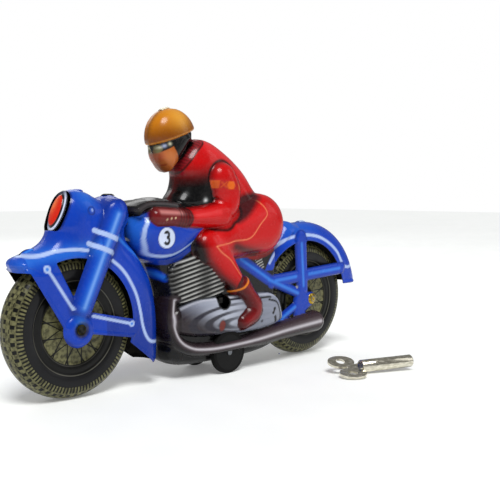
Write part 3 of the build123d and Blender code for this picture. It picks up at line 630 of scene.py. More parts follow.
def paint_tail(p):
    """Rear fender with its pale line, a painted highlight at its front top and painted shade at its tail,
    and the lit bars of the rear frame with painted shade at their edges.
    """
    x, z = p.x, p.z
    guard, crown = tail_guard(x, z)
    struts = rear_struts(x, z)
    on_guard = edge(guard)
    p.over(BLUE, on_guard)
    # painted highlight on the fender's front top
    p.over(BLUE_LIGHT, 0.35 * on_guard * fade(-x, -85, -55) * fade(z, 52, 66))
    # painted shade along the rim at the fender's tail
    p.over(BLUE_DEEP, 0.5 * on_guard * edge(-crown - 1.2, 1.5) * fade(x, 80, 100))
    stripe = [(36.8, 47.4), (40.0, 51.4), (44.6, 55.0), (50.5, 57.9), (58.0, 59.3), (65.8, 59.4),
              (73.8, 57.9), (81.4, 54.4), (87.0, 50.2), (90.0, 46.0), (92.4, 43.0), (96.2, 42.0),
              (101.5, 43.0)]
    p.over(STRIPE, p.line(stripe, 0.75) * on_guard)
    bars = edge(struts)
    p.over(BLUE, bars)
    # painted shade at the edges of the bars
    p.over(BLUE_DEEP, 0.5 * bars * fade(struts, -1.3, -0.2))
    for a, b in (
        ((59.2, 55.5), (61.0, 35.0)), ((41.0, 38.8), (55.4, 39.8)), ((65.0, 40.4), (88.5, 41.8)),
        ((18.0, 50.2), (36.0, 40.2)), ((36.5, 39.6), (57.0, 31.6)), ((44.0, 19.6), (55.0, 25.0)),
    ):
        p.over(BLUE_LIGHT, 0.85 * p.stroke(a, b, 0.75, 0.9) * bars)
    p.over("8c8f99", p.dot((56.6, 34.6), 0.8))


def paint_torso(p, torso):
    """Red jacket with a painted highlight on the shoulders, painted shade going to black below the chest,
    behind the arm and at the back, and a ribbed collar.
    """
    x, z = p.x, p.z
    body = edge(torso)
    p.over(RED, body)
    # painted highlight on the shoulders
    p.over(RED_LIGHT, 0.55 * body * p.glow([(0, 100), (22, 88)], 3.4))
    # painted shade, dark red and then black, low on the chest
    p.over(MAROON, 0.85 * body * fade(-(z - 0.05 * x), -94, -85) * fade(-x, -18, 2))
    p.over(BLACK, body * fade(-(z - 0.10 * x), -89.0, -82.5) * fade(-x, -16, 0))
    # painted shade between the back of the arm and the body
    shade_behind_arm = [(35.0, 78.5), (27.0, 76.0), (19.5, 71.0), (14.0, 66.0)]
    p.over(MAROON, 0.9 * body * p.line(shade_behind_arm, 3.0, 2.6))
    # painted shade along the back edge of the jacket
    p.over(RED_DEEP, 0.85 * body * edge(-torso - 1.8, 3.6) * fade(x, 10, 34))
    p.over(BLACK, 0.85 * body * p.line([(-3, 64), (4, 61), (14, 64), (24, 70)], 0.9, 1.4))
    path = smooth_path([(-15.4, 88.6), (-12.8, 93.4), (-9.0, 98.4), (-3.8, 103.0)])
    collar, along = dist_path(x, z, path)
    p.over("8f1a22", edge(collar - 2.4, 0.6) * edge(torso - 0.5))
    p.over(MAROON, 0.6 * edge(collar - 2.2, 0.6) * (0.5 + 0.5 * np.cos(along * 80)))
    p.over(MAROON, 0.9 * edge(np.abs(collar - 2.7) - 0.3) * body)


def paint_head(p):
    """Plain face with painted shade at its edge and a painted highlight, cap flap, goggles with painted
    glints, and helmet with a painted highlight on top and painted shade low down.
    """
    x, z = p.x, p.z
    head = dist_shape(x, z, HEAD)
    face = edge(head)
    p.over(SKIN, face)
    p.over(CHEEK, 0.8 * face * p.spot((-24.0, 93.8), 2.0))
    # painted shade at the face's edge
    p.over(SKIN_LOW, 0.75 * face * edge(-head - 0.8, 2.4))
    # painted highlight on the face
    p.over("e08a4a", 0.45 * face * p.spot((-20.4, 94.4), 2.6))
    p.over("7a2316", 0.8 * p.stroke((-23.0, 91.0), (-20.8, 91.4), 0.3) * face)
    flap = smooth_path([
        (-20.0, 101.2), (-18.8, 98.4), (-16.9, 95.8), (-15.0, 92.6), (-13.6, 91.8), (-9.0, 97.6),
        (-3.0, 103.5), (-5.0, 108.0), (-13.4, 104.5),
    ], closed=True)
    p.over(BLACK, edge(dist_shape(x, z, flap)) * edge(head - 1.5))
    p.over(DARK, p.stroke((-27.0, 96.9), (-18.5, 101.4), 1.9) * face)
    goggle = np.hypot(x + 24.3, (z - 97.7) / 1.6) - 1
    p.over("6f6a44", edge(goggle, 0.25) * face)
    # painted glints on the goggles
    for spot, size, shine in (
        ((-24.0, 98.3), 0.5, "e6e2c4"), ((-22.8, 99.0), 0.7, "b9c3e6"), ((-20.8, 99.9), 0.7, "d8d6b8"),
    ):
        p.over(shine, 0.95 * face * p.spot(spot, size))
    above = helmet_line(x, z)
    cap = edge(helmet_round(x, z)) * edge(-above)
    p.over(HELMET, cap)
    # painted shade on the helmet's lower part
    p.over(HELMET_LOW, 0.85 * cap * fade(-above, -10.0, -1.0))
    # painted highlight on the helmet's top
    p.over(HELMET_TOP, 0.7 * cap * p.spot((-15.5, 111.0), 5.0))
    p.over("c9822a", 0.8 * cap * edge(np.abs(above - 0.5) - 0.35))


def paint_handlebar(p, torso):
    """Grip between the fork and the glove with a painted highlight, and the painted glint on the chest above
    it.
    """
    grip = edge(dist_path(p.x, p.z, BAR)[0] - 2.3)
    p.over("0d0c0d", grip)
    # painted highlight along the top of the grip
    p.over("4b4547", 0.7 * grip * p.glow(BAR + (0.0, 0.8), 0.7))
    p.over("f6ffff", 0.9 * p.spot((-3.5, 76.4), 1.0) * edge(torso))


def paint_legs(p, limbs):
    """Trouser leg with its piping, painted highlights and painted shadows, then the boot with its trim, a
    painted highlight and painted shade at its edge.
    """
    x, z = p.x, p.z
    leg = np.minimum(limbs["thigh"], limbs["shin"])
    on_leg = edge(leg)
    p.over(RED, on_leg)
    # painted highlights on the shin and thigh
    p.over(RED_LIGHT, 0.35 * on_leg * p.glow([(0, 60), (8, 52)], 2.4))
    p.over(RED_LIGHT, 0.25 * on_leg * p.glow([(12, 66), (34, 72)], 3.0))
    low = np.clip(fade(-z, -66, -56) + fade(-x, 8, 12), 0, 1)
    # painted shade along the leg's lower and front edges and behind the knee
    p.over(MAROON, 0.95 * on_leg * edge(-leg - 1.0, 3.6) * low)
    p.over(MAROON, 0.85 * on_leg * p.glow(smooth_path([(10, 56.5), (17, 54.4), (26, 52.6)]), 2.2))
    p.over(MAROON, 0.55 * on_leg * p.spot((-10.0, 56.5), 3.6))
    shadow = smooth_path([(-11.0, 58.5), (-7.0, 50.0), (-1.0, 43.5), (9.0, 37.0)])
    p.over(MAROON, 0.95 * on_leg * p.glow(shadow, 3.4))
    p.over(BLACK, 0.8 * on_leg * p.glow(shadow, 1.8))
    thigh_line = [(22.5, 77.5), (25.6, 76.3), (28.6, 72.0), (28.6, 69.4), (24.6, 65.7), (20.4, 61.2),
                  (16.3, 59.4), (9.1, 59.0), (4.7, 58.0), (-2.5, 57.2)]
    shin_line = [(-2.5, 57.2), (0.7, 54.3), (5.7, 51.1), (9.6, 46.9), (13.4, 42.9), (15.4, 40.2)]
    for piping in (thigh_line, shin_line):
        p.over("f08a5c", 0.9 * p.line(piping, 0.22, 0.35) * on_leg)
    boot = limbs["boot"]
    on_boot = edge(boot)
    p.over("5a080b", on_boot)
    # painted highlight on the boot
    p.over("8e1519", 0.6 * on_boot * p.glow(BOOT + (0.6, 0.4), 1.8))
    # painted shade at the boot's edge
    p.over(MAROON, 0.95 * on_boot * edge(-boot - 0.8, 3.0))
    trim = [(9.8, 36.4), (13.2, 37.6), (15.6, 39.6), (18.0, 42.4), (18.8, 45.4)]
    p.over("d9761c", p.line(trim, 0.5) * edge(np.minimum(leg, boot) - 0.4))


def paint_arm(p, limbs, torso):
    """Sleeve with its dark outline, painted shade behind it, a painted highlight on the forearm, painted
    shade at its edges, and armband.
    """
    x, z = p.x, p.z
    body = edge(torso)
    sleeve = np.minimum(limbs["arm"], limbs["forearm"])
    on_arm = edge(sleeve)
    p.over(MAROON, 0.9 * edge(np.abs(sleeve) - 0.8, 1.6) * body)
    p.over(BLACK, 0.85 * edge(np.abs(sleeve - 0.5) - 0.45, 0.7) * body)
    wedge = smooth_path([
        (17.5, 78.0), (28.3, 79.2), (24.2, 75.0), (16.9, 69.3), (11.5, 67.0), (14.0, 70.0),
    ], closed=True)
    # painted shade between the upper arm and the back
    p.over("22090f", 0.92 * body * edge(dist_shape(x, z, wedge) - 0.5, 2.2))
    p.over(RED, on_arm)
    # painted highlight on the forearm
    p.over(RED_LIGHT, 0.45 * on_arm * p.glow([(-12, 70.6), (0, 71.4)], 1.6))
    # painted shade at the sleeve's edges
    p.over(RED_DEEP, 0.7 * on_arm * edge(-sleeve - 0.5, 2.2))
    p.over(MAROON, 0.7 * on_arm * edge(-sleeve - 0.2, 1.0))
    on_band = edge(dist_path(x, z, [(-2.5, 83.6), (18.0, 82.4)])[0] - 1.7) * edge(limbs["arm"])
    p.over("b51208", on_band)
    p.over("d9560c", on_band * (1 - fade(x, 1.2, 1.8) + fade(x, 11.4, 12.2)))
    star = np.abs(x - 6.8) * 0.5 + np.abs(z - 83.1) * 0.25
    p.over("e8680f", on_band * edge(star - 1.15, 0.5))
    cross = np.abs(np.abs(x - 3.2) - np.abs(z - 83.3)) - 0.25
    p.over("e8680f", 0.6 * on_band * edge(cross, 0.4) * (x < 4.6) * (x > 1.8))


def paint_glove(p, glove):
    """Glove with a painted highlight along its top, painted shade at its edge, a ribbed cuff and pale
    knuckles.
    """
    x = p.x
    on_glove = edge(glove) * edge(x + 14.6)
    p.over("6d1216", on_glove)
    # painted highlight along the glove's top
    p.over("d98a86", 0.7 * on_glove * p.glow([(-31, 72.2), (-20, 71.6)], 0.9))
    # painted shade at the glove's edge
    p.over(MAROON, 0.9 * on_glove * edge(-glove - 0.3, 1.8))
    cuff = edge(glove) * fade(x, -22.5, -21.5) * (1 - fade(x, -15.2, -14.6))
    p.over(MAROON, 0.7 * cuff * (0.5 + 0.5 * np.cos(x * 4.5)))
    for knuckle in ((-28.4, 69.0), (-26.2, 69.4), (-24.0, 69.6)):
        p.over("e9c9a0", 0.8 * p.dot(knuckle, 0.45))


def paint_body(x, z, side):
    """The whole print of a body half, with its painted highlights and shade, from the machine up to the
    rider.
    """
    p = Paint(x, z, DARK)
    # painted shade, darker towards the underside
    p.over(BLACK, 0.8 * fade(-z, -20, -6))
    paint_machine(p)
    paint_tail(p)
    paint_exhaust(p)
    paint_tank(p, side)
    torso, limbs = dist_shape(x, z, TORSO), limb_shapes(x, z)
    paint_torso(p, torso)
    paint_head(p)
    paint_handlebar(p, torso)
    paint_legs(p, limbs)
    paint_arm(p, limbs, torso)
    paint_glove(p, limbs["glove"])
    return p.rgb


# ---------------------------------------------------------------- meshes
def link(name, mesh):
    piece = bpy.data.objects.new(name, mesh)
    bpy.context.scene.collection.objects.link(piece)
    return piece


def colours_on(mesh, rgb):
    """Stores the print, with its painted highlights and shade, as a colour attribute."""
    layer = mesh.color_attributes.new("print", "FLOAT_COLOR", "POINT")
    flat = np.ones((len(rgb), 4), np.float32)
    flat[:, :3] = rgb
    layer.data.foreach_set("color", flat.ravel())


def closed_mesh(name, verts, faces, smooth=True, weld=False):
    """A closed mesh with its faces turned outwards; a cap with many corners stays flat."""
    mesh = bpy.data.meshes.new(name)
    mesh.from_pydata([tuple(v) for v in verts], [], faces)
    work = bmesh.new()
    work.from_mesh(mesh)
    if weld:
        bmesh.ops.remove_doubles(work, verts=work.verts, dist=1e-6)
    bmesh.ops.recalc_face_normals(work, faces=work.faces)
    work.to_mesh(mesh)
    work.free()
    mesh.polygons.foreach_set("use_smooth", [smooth and len(p.vertices) < 5 for p in mesh.polygons])
    return mesh


def ring_faces(rings, steps, first=0):
    """Quads between neighbouring rings of points, each ring closed on itself."""
    faces = []
    for k in range(rings - 1):
        for i in range(steps):
            j = (i + 1) % steps
            near, far = first + k * steps, first + (k + 1) * steps
            faces.append((near + i, near + j, far + j, far + i))
    return faces


def add_sheet(piece, thickness, offset, back=0):
    """Gives a surface its tin thickness, with the material slot for its back and rim."""
    sheet = piece.modifiers.new("sheet", "SOLIDIFY")
    sheet.thickness = thickness * MM
    sheet.offset = offset
    sheet.material_offset = back
    sheet.material_offset_rim = back


def crisp_rim(mesh):
    """Keeps the cut edge out of the sheet's smooth shading, so that the halves meet without a line."""
    corners = np.zeros(len(mesh.loops), np.int32)
    mesh.loops.foreach_get("edge_index", corners)
    alone = np.bincount(corners, minlength=len(mesh.edges)) == 1
    mesh.edges.foreach_set("use_edge_sharp", alone)


def trimmed_grid(sheet, low, high):
    """A fine grid over the side view, its rim moved onto the outline of the sheet."""
    xs, zs = np.arange(low[0], high[0], STEP), np.arange(low[1], high[1], STEP)
    gx, gz = np.meshgrid(xs, zs, indexing="ij")
    d = sheet(gx.ravel(), gz.ravel()).reshape(gx.shape)
    inner = d < -0.3 * STEP
    kept = inner[:-1, :-1] | inner[1:, :-1] | inner[:-1, 1:] | inner[1:, 1:]
    index = np.arange(gx.size).reshape(gx.shape)
    quads = np.stack([index[:-1, :-1], index[1:, :-1], index[1:, 1:], index[:-1, 1:]], -1)[kept]
    used, quads = np.unique(quads, return_inverse=True)
    x, z = gx.ravel()[used].copy(), gz.ravel()[used].copy()
    rim = ~inner.ravel()[used]
    small = 0.05
    for _ in range(4):
        rx, rz = x[rim], z[rim]
        here = sheet(rx, rz)
        ax = (sheet(rx + small, rz) - sheet(rx - small, rz)) / (2 * small)
        az = (sheet(rx, rz + small) - sheet(rx, rz - small)) / (2 * small)
        size = np.maximum(ax * ax + az * az, 0.25)
        x[rim] = rx - np.clip(here, -1, 1) * ax / size
        z[rim] = rz - np.clip(here, -1, 1) * az / size
    return x, z, quads.reshape(-1, 4)


def pressed_sheet(name, sheet, height, paint, low, high, side):
    """One pressed half: a grid trimmed to its outline, raised and printed."""
    x, z, quads = trimmed_grid(sheet, low, high)
    verts = np.stack([x, side * height(x, z), z], -1) * MM
    if side == RIGHT:
        quads = quads[:, ::-1]
    mesh = bpy.data.meshes.new(name)
    mesh.from_pydata(verts.tolist(), [], quads.tolist())
    colours_on(mesh, paint(x, z, side))
    mesh.polygons.foreach_set("use_smooth", [True] * len(mesh.polygons))
    crisp_rim(mesh)
    return link(name, mesh)


def revolved(name, profile, centre, side, steps=160):
    """A turned or spun piece about the Y direction: profile is a closed list of (radius, y)."""
    verts, faces = [], []
    count = len(profile)
    for i in range(steps):
        angle = 2 * math.pi * i / steps
        for r, y in profile:
            x, z = centre[0] + r * math.cos(angle), centre[1] + r * math.sin(angle)
            verts.append((x * MM, side * y * MM, z * MM))
    for i in range(steps):
        a, b = i * count, ((i + 1) % steps) * count
        for j in range(count):
            k = (j + 1) % count
            quad = (a + j, a + k, b + k, b + j)
            faces.append(quad if side == RIGHT else quad[::-1])
    return link(name, closed_mesh(name, verts, faces, weld=True))


def node_points(node):
    """Corners of a CAD node's mesh."""
    return np.array([v.co for v in frame["nodes"][node].data.vertices], float)


def oriented(node, away_from=None):
    """Middle, long axis, middle axis and short axis of a CAD node."""
    points = node_points(node)
    middle = (points.max(0) + points.min(0)) / 2
    _, _, axes = np.linalg.svd(points - points.mean(0), full_matrices=False)
    if away_from is not None and axes[0] @ (middle - np.array(away_from)) < 0:
        axes = -axes
    return middle, axes


# ---------------------------------------------------------------- shader building
class Field:
    """A number that shader nodes work out at each point."""

    def __init__(self, tree, socket):
        self.tree = tree
        self.socket = socket

    def op(self, kind, *others):
        node = self.tree.nodes.new("ShaderNodeMath")
        node.operation = kind
        for slot, value in zip(node.inputs, (self, *others)):
            if isinstance(value, Field):
                self.tree.links.new(value.socket, slot)
            else:
                slot.default_value = value
        return Field(self.tree, node.outputs[0])

    def __add__(self, other):
        return self.op("ADD", other)

    def __sub__(self, other):
        return self.op("SUBTRACT", other)

    def __mul__(self, other):
        return self.op("MULTIPLY", other)

    def between(self, low, high, soft):
        """1 from low to high, 0 outside."""
        return self.ramp(low - soft / 2, low + soft / 2) * self.ramp(high + soft / 2, high - soft / 2)

    def ramp(self, start, end, to_low=0.0, to_high=1.0):
        node = self.tree.nodes.new("ShaderNodeMapRange")
        node.interpolation_type = "SMOOTHSTEP"
        self.tree.links.new(self.socket, node.inputs["Value"])
        for label, value in zip(("From Min", "From Max", "To Min", "To Max"), (start, end, to_low, to_high)):
            node.inputs[label].default_value = value
        return Field(self.tree, node.outputs["Result"])

    def wave(self, turns):
        """Distance from the nearest line of an evenly spaced set, 0 on a line and 1 midway."""
        return (self * turns).op("PINGPONG", 0.5) * 2.0


class Look:
    """A procedural material with a principled shader."""

    def __init__(self, name):
        self.material = bpy.data.materials.new(name)
        self.material.use_nodes = True
        self.tree = self.material.node_tree
        self.shader = self.tree.nodes["Principled BSDF"]
        place = self.tree.nodes.new("ShaderNodeTexCoord")
        self.place = place.outputs["Object"]

    def set(self, **values):
        for label, value in values.items():
            self.shader.inputs[label.replace("_", " ")].default_value = value
        return self

    def noise(self, scale, detail=3.0, stretch=(1, 1, 1)):
        spread = self.tree.nodes.new("ShaderNodeMapping")
        spread.inputs["Scale"].default_value = stretch
        self.tree.links.new(self.place, spread.inputs["Vector"])
        node = self.tree.nodes.new("ShaderNodeTexNoise")
        node.inputs["Scale"].default_value = scale
        node.inputs["Detail"].default_value = detail
        self.tree.links.new(spread.outputs[0], node.inputs["Vector"])
        return Field(self.tree, node.outputs["Fac"])

    def tint(self, rgb):
        node = self.tree.nodes.new("ShaderNodeRGB")
        node.outputs[0].default_value = (*rgb, 1)
        return node.outputs[0]

    def mix(self, below, above, amount, kind="MIX"):
        node = self.tree.nodes.new("ShaderNodeMix")
        node.data_type = "RGBA"
        node.blend_type = kind
        for slot, value in ((node.inputs[6], below), (node.inputs[7], above)):
            if isinstance(value, bpy.types.NodeSocket):
                self.tree.links.new(value, slot)
            else:
                slot.default_value = (*value, 1)
        self.tree.links.new(amount.socket, node.inputs[0])
        return node.outputs[2]

    def colour(self, socket):
        self.tree.links.new(socket, self.shader.inputs["Base Color"])
        return self

    def roughness(self, field):
        self.tree.links.new(field.socket, self.shader.inputs["Roughness"])
        return self

    def bump(self, field, depth, strength=1.0):
        node = self.tree.nodes.new("ShaderNodeBump")
        node.inputs["Strength"].default_value = strength
        node.inputs["Distance"].default_value = depth
        self.tree.links.new(field.socket, node.inputs["Height"])
        self.tree.links.new(node.outputs[0], self.shader.inputs["Normal"])
        return self

    def polar(self, centre):
        """Distance in millimetres and turns round an axle, for the point being shaded, and its y."""
        split = self.tree.nodes.new("ShaderNodeSeparateXYZ")
        self.tree.links.new(self.place, split.inputs[0])
        x = (Field(self.tree, split.outputs[0]) * (1 / MM)) - centre[0]
        z = (Field(self.tree, split.outputs[2]) * (1 / MM)) - centre[1]
        radius = ((x * x) + (z * z)).op("SQRT")
        turns = z.op("ARCTAN2", x) * (1 / (2 * math.pi))
        y = (Field(self.tree, split.outputs[1]) * (1 / MM)).op("ABSOLUTE")
        return radius, turns, y


def litho(name, rough):
    """Varnished print on tin: the printed colours, with the highlights and shade painted into them, and
    slight ink mottle, dust and wear.
    """
    look = Look(name)
    # the print attribute holds the print together with its painted highlights and painted shade
    ink = look.tree.nodes.new("ShaderNodeAttribute")
    ink.attribute_name = "print"
    mottle = look.noise(900, 4)
    body = look.mix(ink.outputs["Color"], colour("ffffff"), mottle.ramp(0.35, 0.75, 0.0, 0.006), "SCREEN")
    cloud = look.noise(60, 3)
    body = look.mix(body, colour("0a0a12"), cloud.ramp(0.45, 0.8, 0.0, 0.14), "MULTIPLY")
    speck = look.noise(1500, 1).ramp(0.80, 0.84, 0.0, 0.16)
    look.colour(look.mix(body, colour("6a6a66"), speck))
    look.roughness(look.noise(240, 4).ramp(0.3, 0.75, rough, rough + 0.14))
    look.bump(look.noise(420, 3), 0.00002, 0.35)
    look.set(Metallic=0.0, Coat_Weight=0.12, Coat_Roughness=0.05, IOR=1.4, Specular_IOR_Level=0.28)
    return look.material


def metal(name, low, high, rough, scale=500, stretch=(1, 1, 1), metallic=1.0, bump=0.00002):
    """Bare metal whose tone and polish vary, brushed along one direction if it is stretched."""
    look = Look(name)
    low, high = colour(low), colour(high)
    grain = look.noise(scale, 5, stretch)
    stain = look.noise(80, 3)
    tone = look.mix(low, high, grain.ramp(0.3, 0.7))
    look.colour(look.mix(tone, low * 0.5, stain.ramp(0.55, 0.8, 0.0, 0.5)))
    look.roughness(grain.ramp(0.25, 0.75, rough, rough + 0.16))
    look.bump(grain, bump, 0.5)
    look.set(Metallic=metallic, Specular_IOR_Level=0.5 if metallic else 0.2)
    return look.material


SPOKES, TICKS, BLOCKS = 12.0, 104.0, 52.0
HUB_REACH = 3.2  # how far the printed spokes pass from the axle


def wheel_look(name, axle):
    """Printed tyre, rim and crossing spokes, worked out from the place about the axle."""
    look = Look(name)
    r, turns, y = look.polar(axle)
    grime = look.noise(700, 4)
    khaki = look.mix(KHAKI, KHAKI_DARK, grime.ramp(0.35, 0.7))
    shade = look.mix(TYRE_BLACK, CHARCOAL, r.between(18.9, 22.6, 0.4))
    # spokes cross between the hub and the rim
    slope = (r.op("MAXIMUM", HUB_REACH + 0.01).op("POWER", -1.0) * HUB_REACH).op("ARCCOSINE")
    slant = slope * (SPOKES / (2 * math.pi))
    one = ((turns * SPOKES) + slant).wave(1.0).ramp(0.06, 0.14)
    two = ((turns * SPOKES) - slant).wave(1.0).ramp(0.06, 0.14)
    cells = one * two * r.between(5.2, 14.3, 0.4)
    body = look.mix(shade, khaki, cells)
    body = look.mix(body, colour("55544c"), r.between(18.25, 18.6, 0.15) * 0.9)
    body = look.mix(body, colour("3c3b36"), r.between(14.7, 15.0, 0.2) * 0.8)
    body = tyre_print(look, body, khaki, r, turns, y)
    soil = look.noise(90, 3).ramp(0.5, 0.85, 0.0, 0.35)
    look.colour(look.mix(body, colour("050505"), soil, "MULTIPLY"))
    look.roughness(look.noise(260, 4).ramp(0.3, 0.7, 0.28, 0.46))
    look.bump(look.noise(420, 3), 0.00002, 0.35)
    look.set(Coat_Weight=0.08, Coat_Roughness=0.10, IOR=1.4, Specular_IOR_Level=0.25)
    return look.material


def tyre_print(look, body, khaki, r, turns, y):
    """Fine ticks, a row of blocks, then the worn tread."""
    ticks = turns.wave(TICKS).ramp(0.38, 0.58)
    body = look.mix(body, khaki, ticks * r.between(22.9, 25.3, 0.2))
    blocks = turns.wave(BLOCKS).ramp(0.42, 0.52)
    solid = blocks.op("MAXIMUM", r.ramp(26.9, 27.1)).op("MAXIMUM", r.ramp(25.9, 25.7))
    body = look.mix(body, khaki, r.between(25.35, 29.0, 0.2) * solid)
    rows = (y * 0.36).wave(1.0).ramp(0.42, 0.56)
    bricks = turns.wave(BLOCKS).ramp(0.46, 0.58)
    return look.mix(body, TYRE_BLACK, rows * bricks * r.ramp(26.9, 27.2) * 0.95)


def finish_piece(piece, body, slot, *materials):
    """Gives a piece its materials and makes it move with its body."""
    for material in materials:
        piece.data.materials.append(material)
    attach(piece, body)
    return piece


# ---------------------------------------------------------------- the pressed halves
def make_half(name, body, slot, shape, printed, tin):
    """One printed half, with its back and rim in bare tin, in place of its CAD shell."""
    half = pressed_sheet(name, *shape)
    add_sheet(half, SHEET, -1, back=1)
    finish_piece(half, body, slot, printed, tin)
    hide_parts(name.replace("half", "shell"))


def make_halves(tin, printed):
    for side, word in ((LEFT, "left"), (RIGHT, "right")):
        front = (front_sheet, front_height, paint_front, (-94, 6), (-22, 84), side)
        make_half(f"front_half_{word}", "front_fork", "blue_tin", front, printed, tin)

        def sheet(x, z, keyhole=side == LEFT):
            return body_sheet(x, z, keyhole)

        body = (sheet, body_height, paint_body, (-44, 3), (109, 118), side)
        make_half(f"body_half_{word}", "chassis", "body_tin", body, printed, tin)


# ---------------------------------------------------------------- wheels
DISC = smooth_path([
    (2.4, 7.8), (3.4, 7.5), (4.4, 6.6), (5.4, 5.4), (8.0, 4.8), (12.3, 4.6), (13.8, 4.7),
    (14.8, 5.2), (16.2, 5.5), (17.6, 5.4), (18.6, 5.9), (20.0, 6.35), (22.2, 6.45), (24.4, 6.1),
    (26.2, 5.0), (27.4, 3.2), (27.95, 1.2), (28.0, 0.02),
], parts=3)


def make_wheels():
    for word, axle in (("front", FRONT_AXLE), ("rear", REAR_AXLE)):
        look = wheel_look(f"{word}_wheel_print", axle)
        inside = [(max(r - 0.35, 2.4), max(y - 0.35, 0.02)) for r, y in DISC[::-1]]
        ring = [tuple(p) for p in DISC] + [p for p in inside if p[0] < 27.6]
        for side, hand in ((LEFT, "left"), (RIGHT, "right")):
            disc = revolved(f"{word}_disc_{hand}", ring, axle, side, 180)
            finish_piece(disc, f"{word}_wheel", "wheel_tin", look)
            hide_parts(f"{word}_wheel_{hand}")


# ---------------------------------------------------------------- headlamp lens
def lens_tint(r, a):
    """Red glass with a painted orange highlight, inside a dark groove and a ring lit from one side."""
    if 7.0 < r < 8.4:
        lit = min(max(0.45 - 0.9 * math.cos(a) - 0.5 * math.sin(a), 0.0), 1.0)
        return colour("2a2f45") * (1 - lit) + colour("d9e3ff") * lit
    if r >= 6.3:
        return colour("23161a")
    # painted highlight: an orange patch offset upwards on the glass
    glow = math.exp(-((r * math.cos(a) - 1.5) ** 2 + (r * math.sin(a) - 2.0) ** 2) / 9.0)
    return colour("d8260f") * (1 - glow) + colour("ff7a3c") * glow


def make_lens(glossy):
    """The headlamp's lens and ring, oval because the lamp is flattened across the seam."""
    forward = Vector((-math.cos(LENS_UP), 0, math.sin(LENS_UP)))
    up = Vector((math.sin(LENS_UP), 0, math.cos(LENS_UP)))
    across = Vector((0, 1, 0))
    middle = Vector((LENS_MID[0], 0, LENS_MID[1])) * MM
    profile = [(7.9, -0.6), (8.45, 0.0), (8.3, 0.45), (7.7, 0.65), (7.2, 0.5), (6.9, 0.55), (6.6, 0.75)]
    profile += [(6.5 * math.cos(a), 0.7 + 1.3 * math.sin(a)) for a in np.linspace(0.1, math.pi / 2, 12)]
    steps = 96
    verts, tints = [], []
    for r, h in profile[:-1]:
        for i in range(steps):
            a = 2 * math.pi * i / steps
            out = up * math.sin(a) + across * 0.54 * math.cos(a)
            verts.append(middle + (out * r + forward * h) * MM)
            tints.append(lens_tint(r, a))
    verts.append(middle + forward * profile[-1][1] * MM)
    tints.append(colour("d8260f"))
    faces = ring_faces(len(profile) - 1, steps)
    last = len(verts) - 1 - steps
    faces += [(last + i, last + (i + 1) % steps, len(verts) - 1) for i in range(steps)]
    faces.append(tuple(range(steps)))
    mesh = closed_mesh("lamp_glass", verts, faces)
    colours_on(mesh, np.array(tints))
    lens = link("lamp_glass", mesh)
    finish_piece(lens, "front_fork", "lens_red", glossy)
    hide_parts("headlamp_lens")


# ---------------------------------------------------------------- clockwork spring and axle caps
def make_mainspring(steel):
    """A coiled strip that opens outwards, filling the CAD spring."""
    low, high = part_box("mainspring")
    outer = (high.x - low.x) / 2 / MM
    inner, turns, thick = 3.6, 9, 0.32
    steps = turns * 60
    verts = []
    for i in range(steps + 1):
        a = 2 * math.pi * turns * i / steps
        r = inner + (outer - 0.4 - inner) * (i / steps) ** 0.8
        for rr, y in ((r, low.y), (r + thick, low.y), (r + thick, high.y), (r, high.y)):
            verts.append(((ARBOR[0] + rr * math.cos(a)) * MM, y, (ARBOR[1] + rr * math.sin(a)) * MM))
    faces = ring_faces(steps + 1, 4)
    faces.append((3, 2, 1, 0))
    faces.append(tuple(4 * steps + j for j in range(4)))
    spring = link("coiled_spring", closed_mesh("coiled_spring", verts, faces, smooth=False))
    finish_piece(spring, "chassis", "spring_steel", steel)
    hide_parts("mainspring")


def make_axle_caps(brass):
    """Domed brass ends of the rear axle, left and right in one piece."""
    profile = [(0.001, 10.55), (0.8, 10.5), (1.5, 10.25), (2.0, 9.9), (2.3, 9.7), (2.7, 9.6),
               (2.8, 9.35), (2.6, 9.2), (1.9, 9.15), (1.9, 8.3), (0.001, 8.3)]
    caps = [revolved(f"rear_cap_{side}", profile, REAR_AXLE, side, 48) for side in (LEFT, RIGHT)]
    with bpy.context.temp_override(active_object=caps[0], selected_editable_objects=caps, object=caps[0]):
        bpy.ops.object.join()
    cap = caps[0]
    cap.name = "rear_axle_caps"
    finish_piece(cap, "chassis", "brass", brass)
    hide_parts("rear_axle_eyelets")


# ---------------------------------------------------------------- key
def key_barrel(along):
    """The rolled tube with its seam and square hole, and the point where the bow starts."""
    points = node_points("key_tube")
    reach = points @ along
    start, end = reach.min(), reach.max()
    centre = points.mean(0) - along * reach.mean()
    radius = np.linalg.norm(points - centre - np.outer(reach, along), axis=1).max()
    seam_up = np.cross(along, (0.0, 0.0, 1.0))
    seam_up = seam_up / np.linalg.norm(seam_up)
    third = np.cross(along, seam_up)
    steps = 96
    angles = [2 * math.pi * i / steps for i in range(steps)]
    seam = [0.3 * MM if i in (0, 1, steps - 1) else 0 for i in range(steps)]
    rings = []
    for t, size in ((start, 0.88), (start + 0.0004, 1.0), (end - 0.0004, 1.0), (end, 0.9)):
        rings.append((t, [size * radius - dip for dip in seam]))
    half_square, hole_depth = 1.45 * MM, 14 * MM
    square = [half_square / max(abs(math.cos(a)), abs(math.sin(a))) for a in angles]
    for t in (end - 0.0002, end - hole_depth):
        rings.append((t, [min(side, radius * 0.68) for side in square]))
    verts = []
    for t, radii in rings:
        for a, r in zip(angles, radii):
            verts.append(centre + along * t + (third * math.cos(a) + seam_up * math.sin(a)) * r)
    faces = ring_faces(len(rings), steps)
    faces.append(tuple(range(steps))[::-1])
    faces.append(tuple((len(rings) - 1) * steps + i for i in range(steps)))
    return link("key_barrel", closed_mesh("key_barrel", verts, faces)), centre + along * start


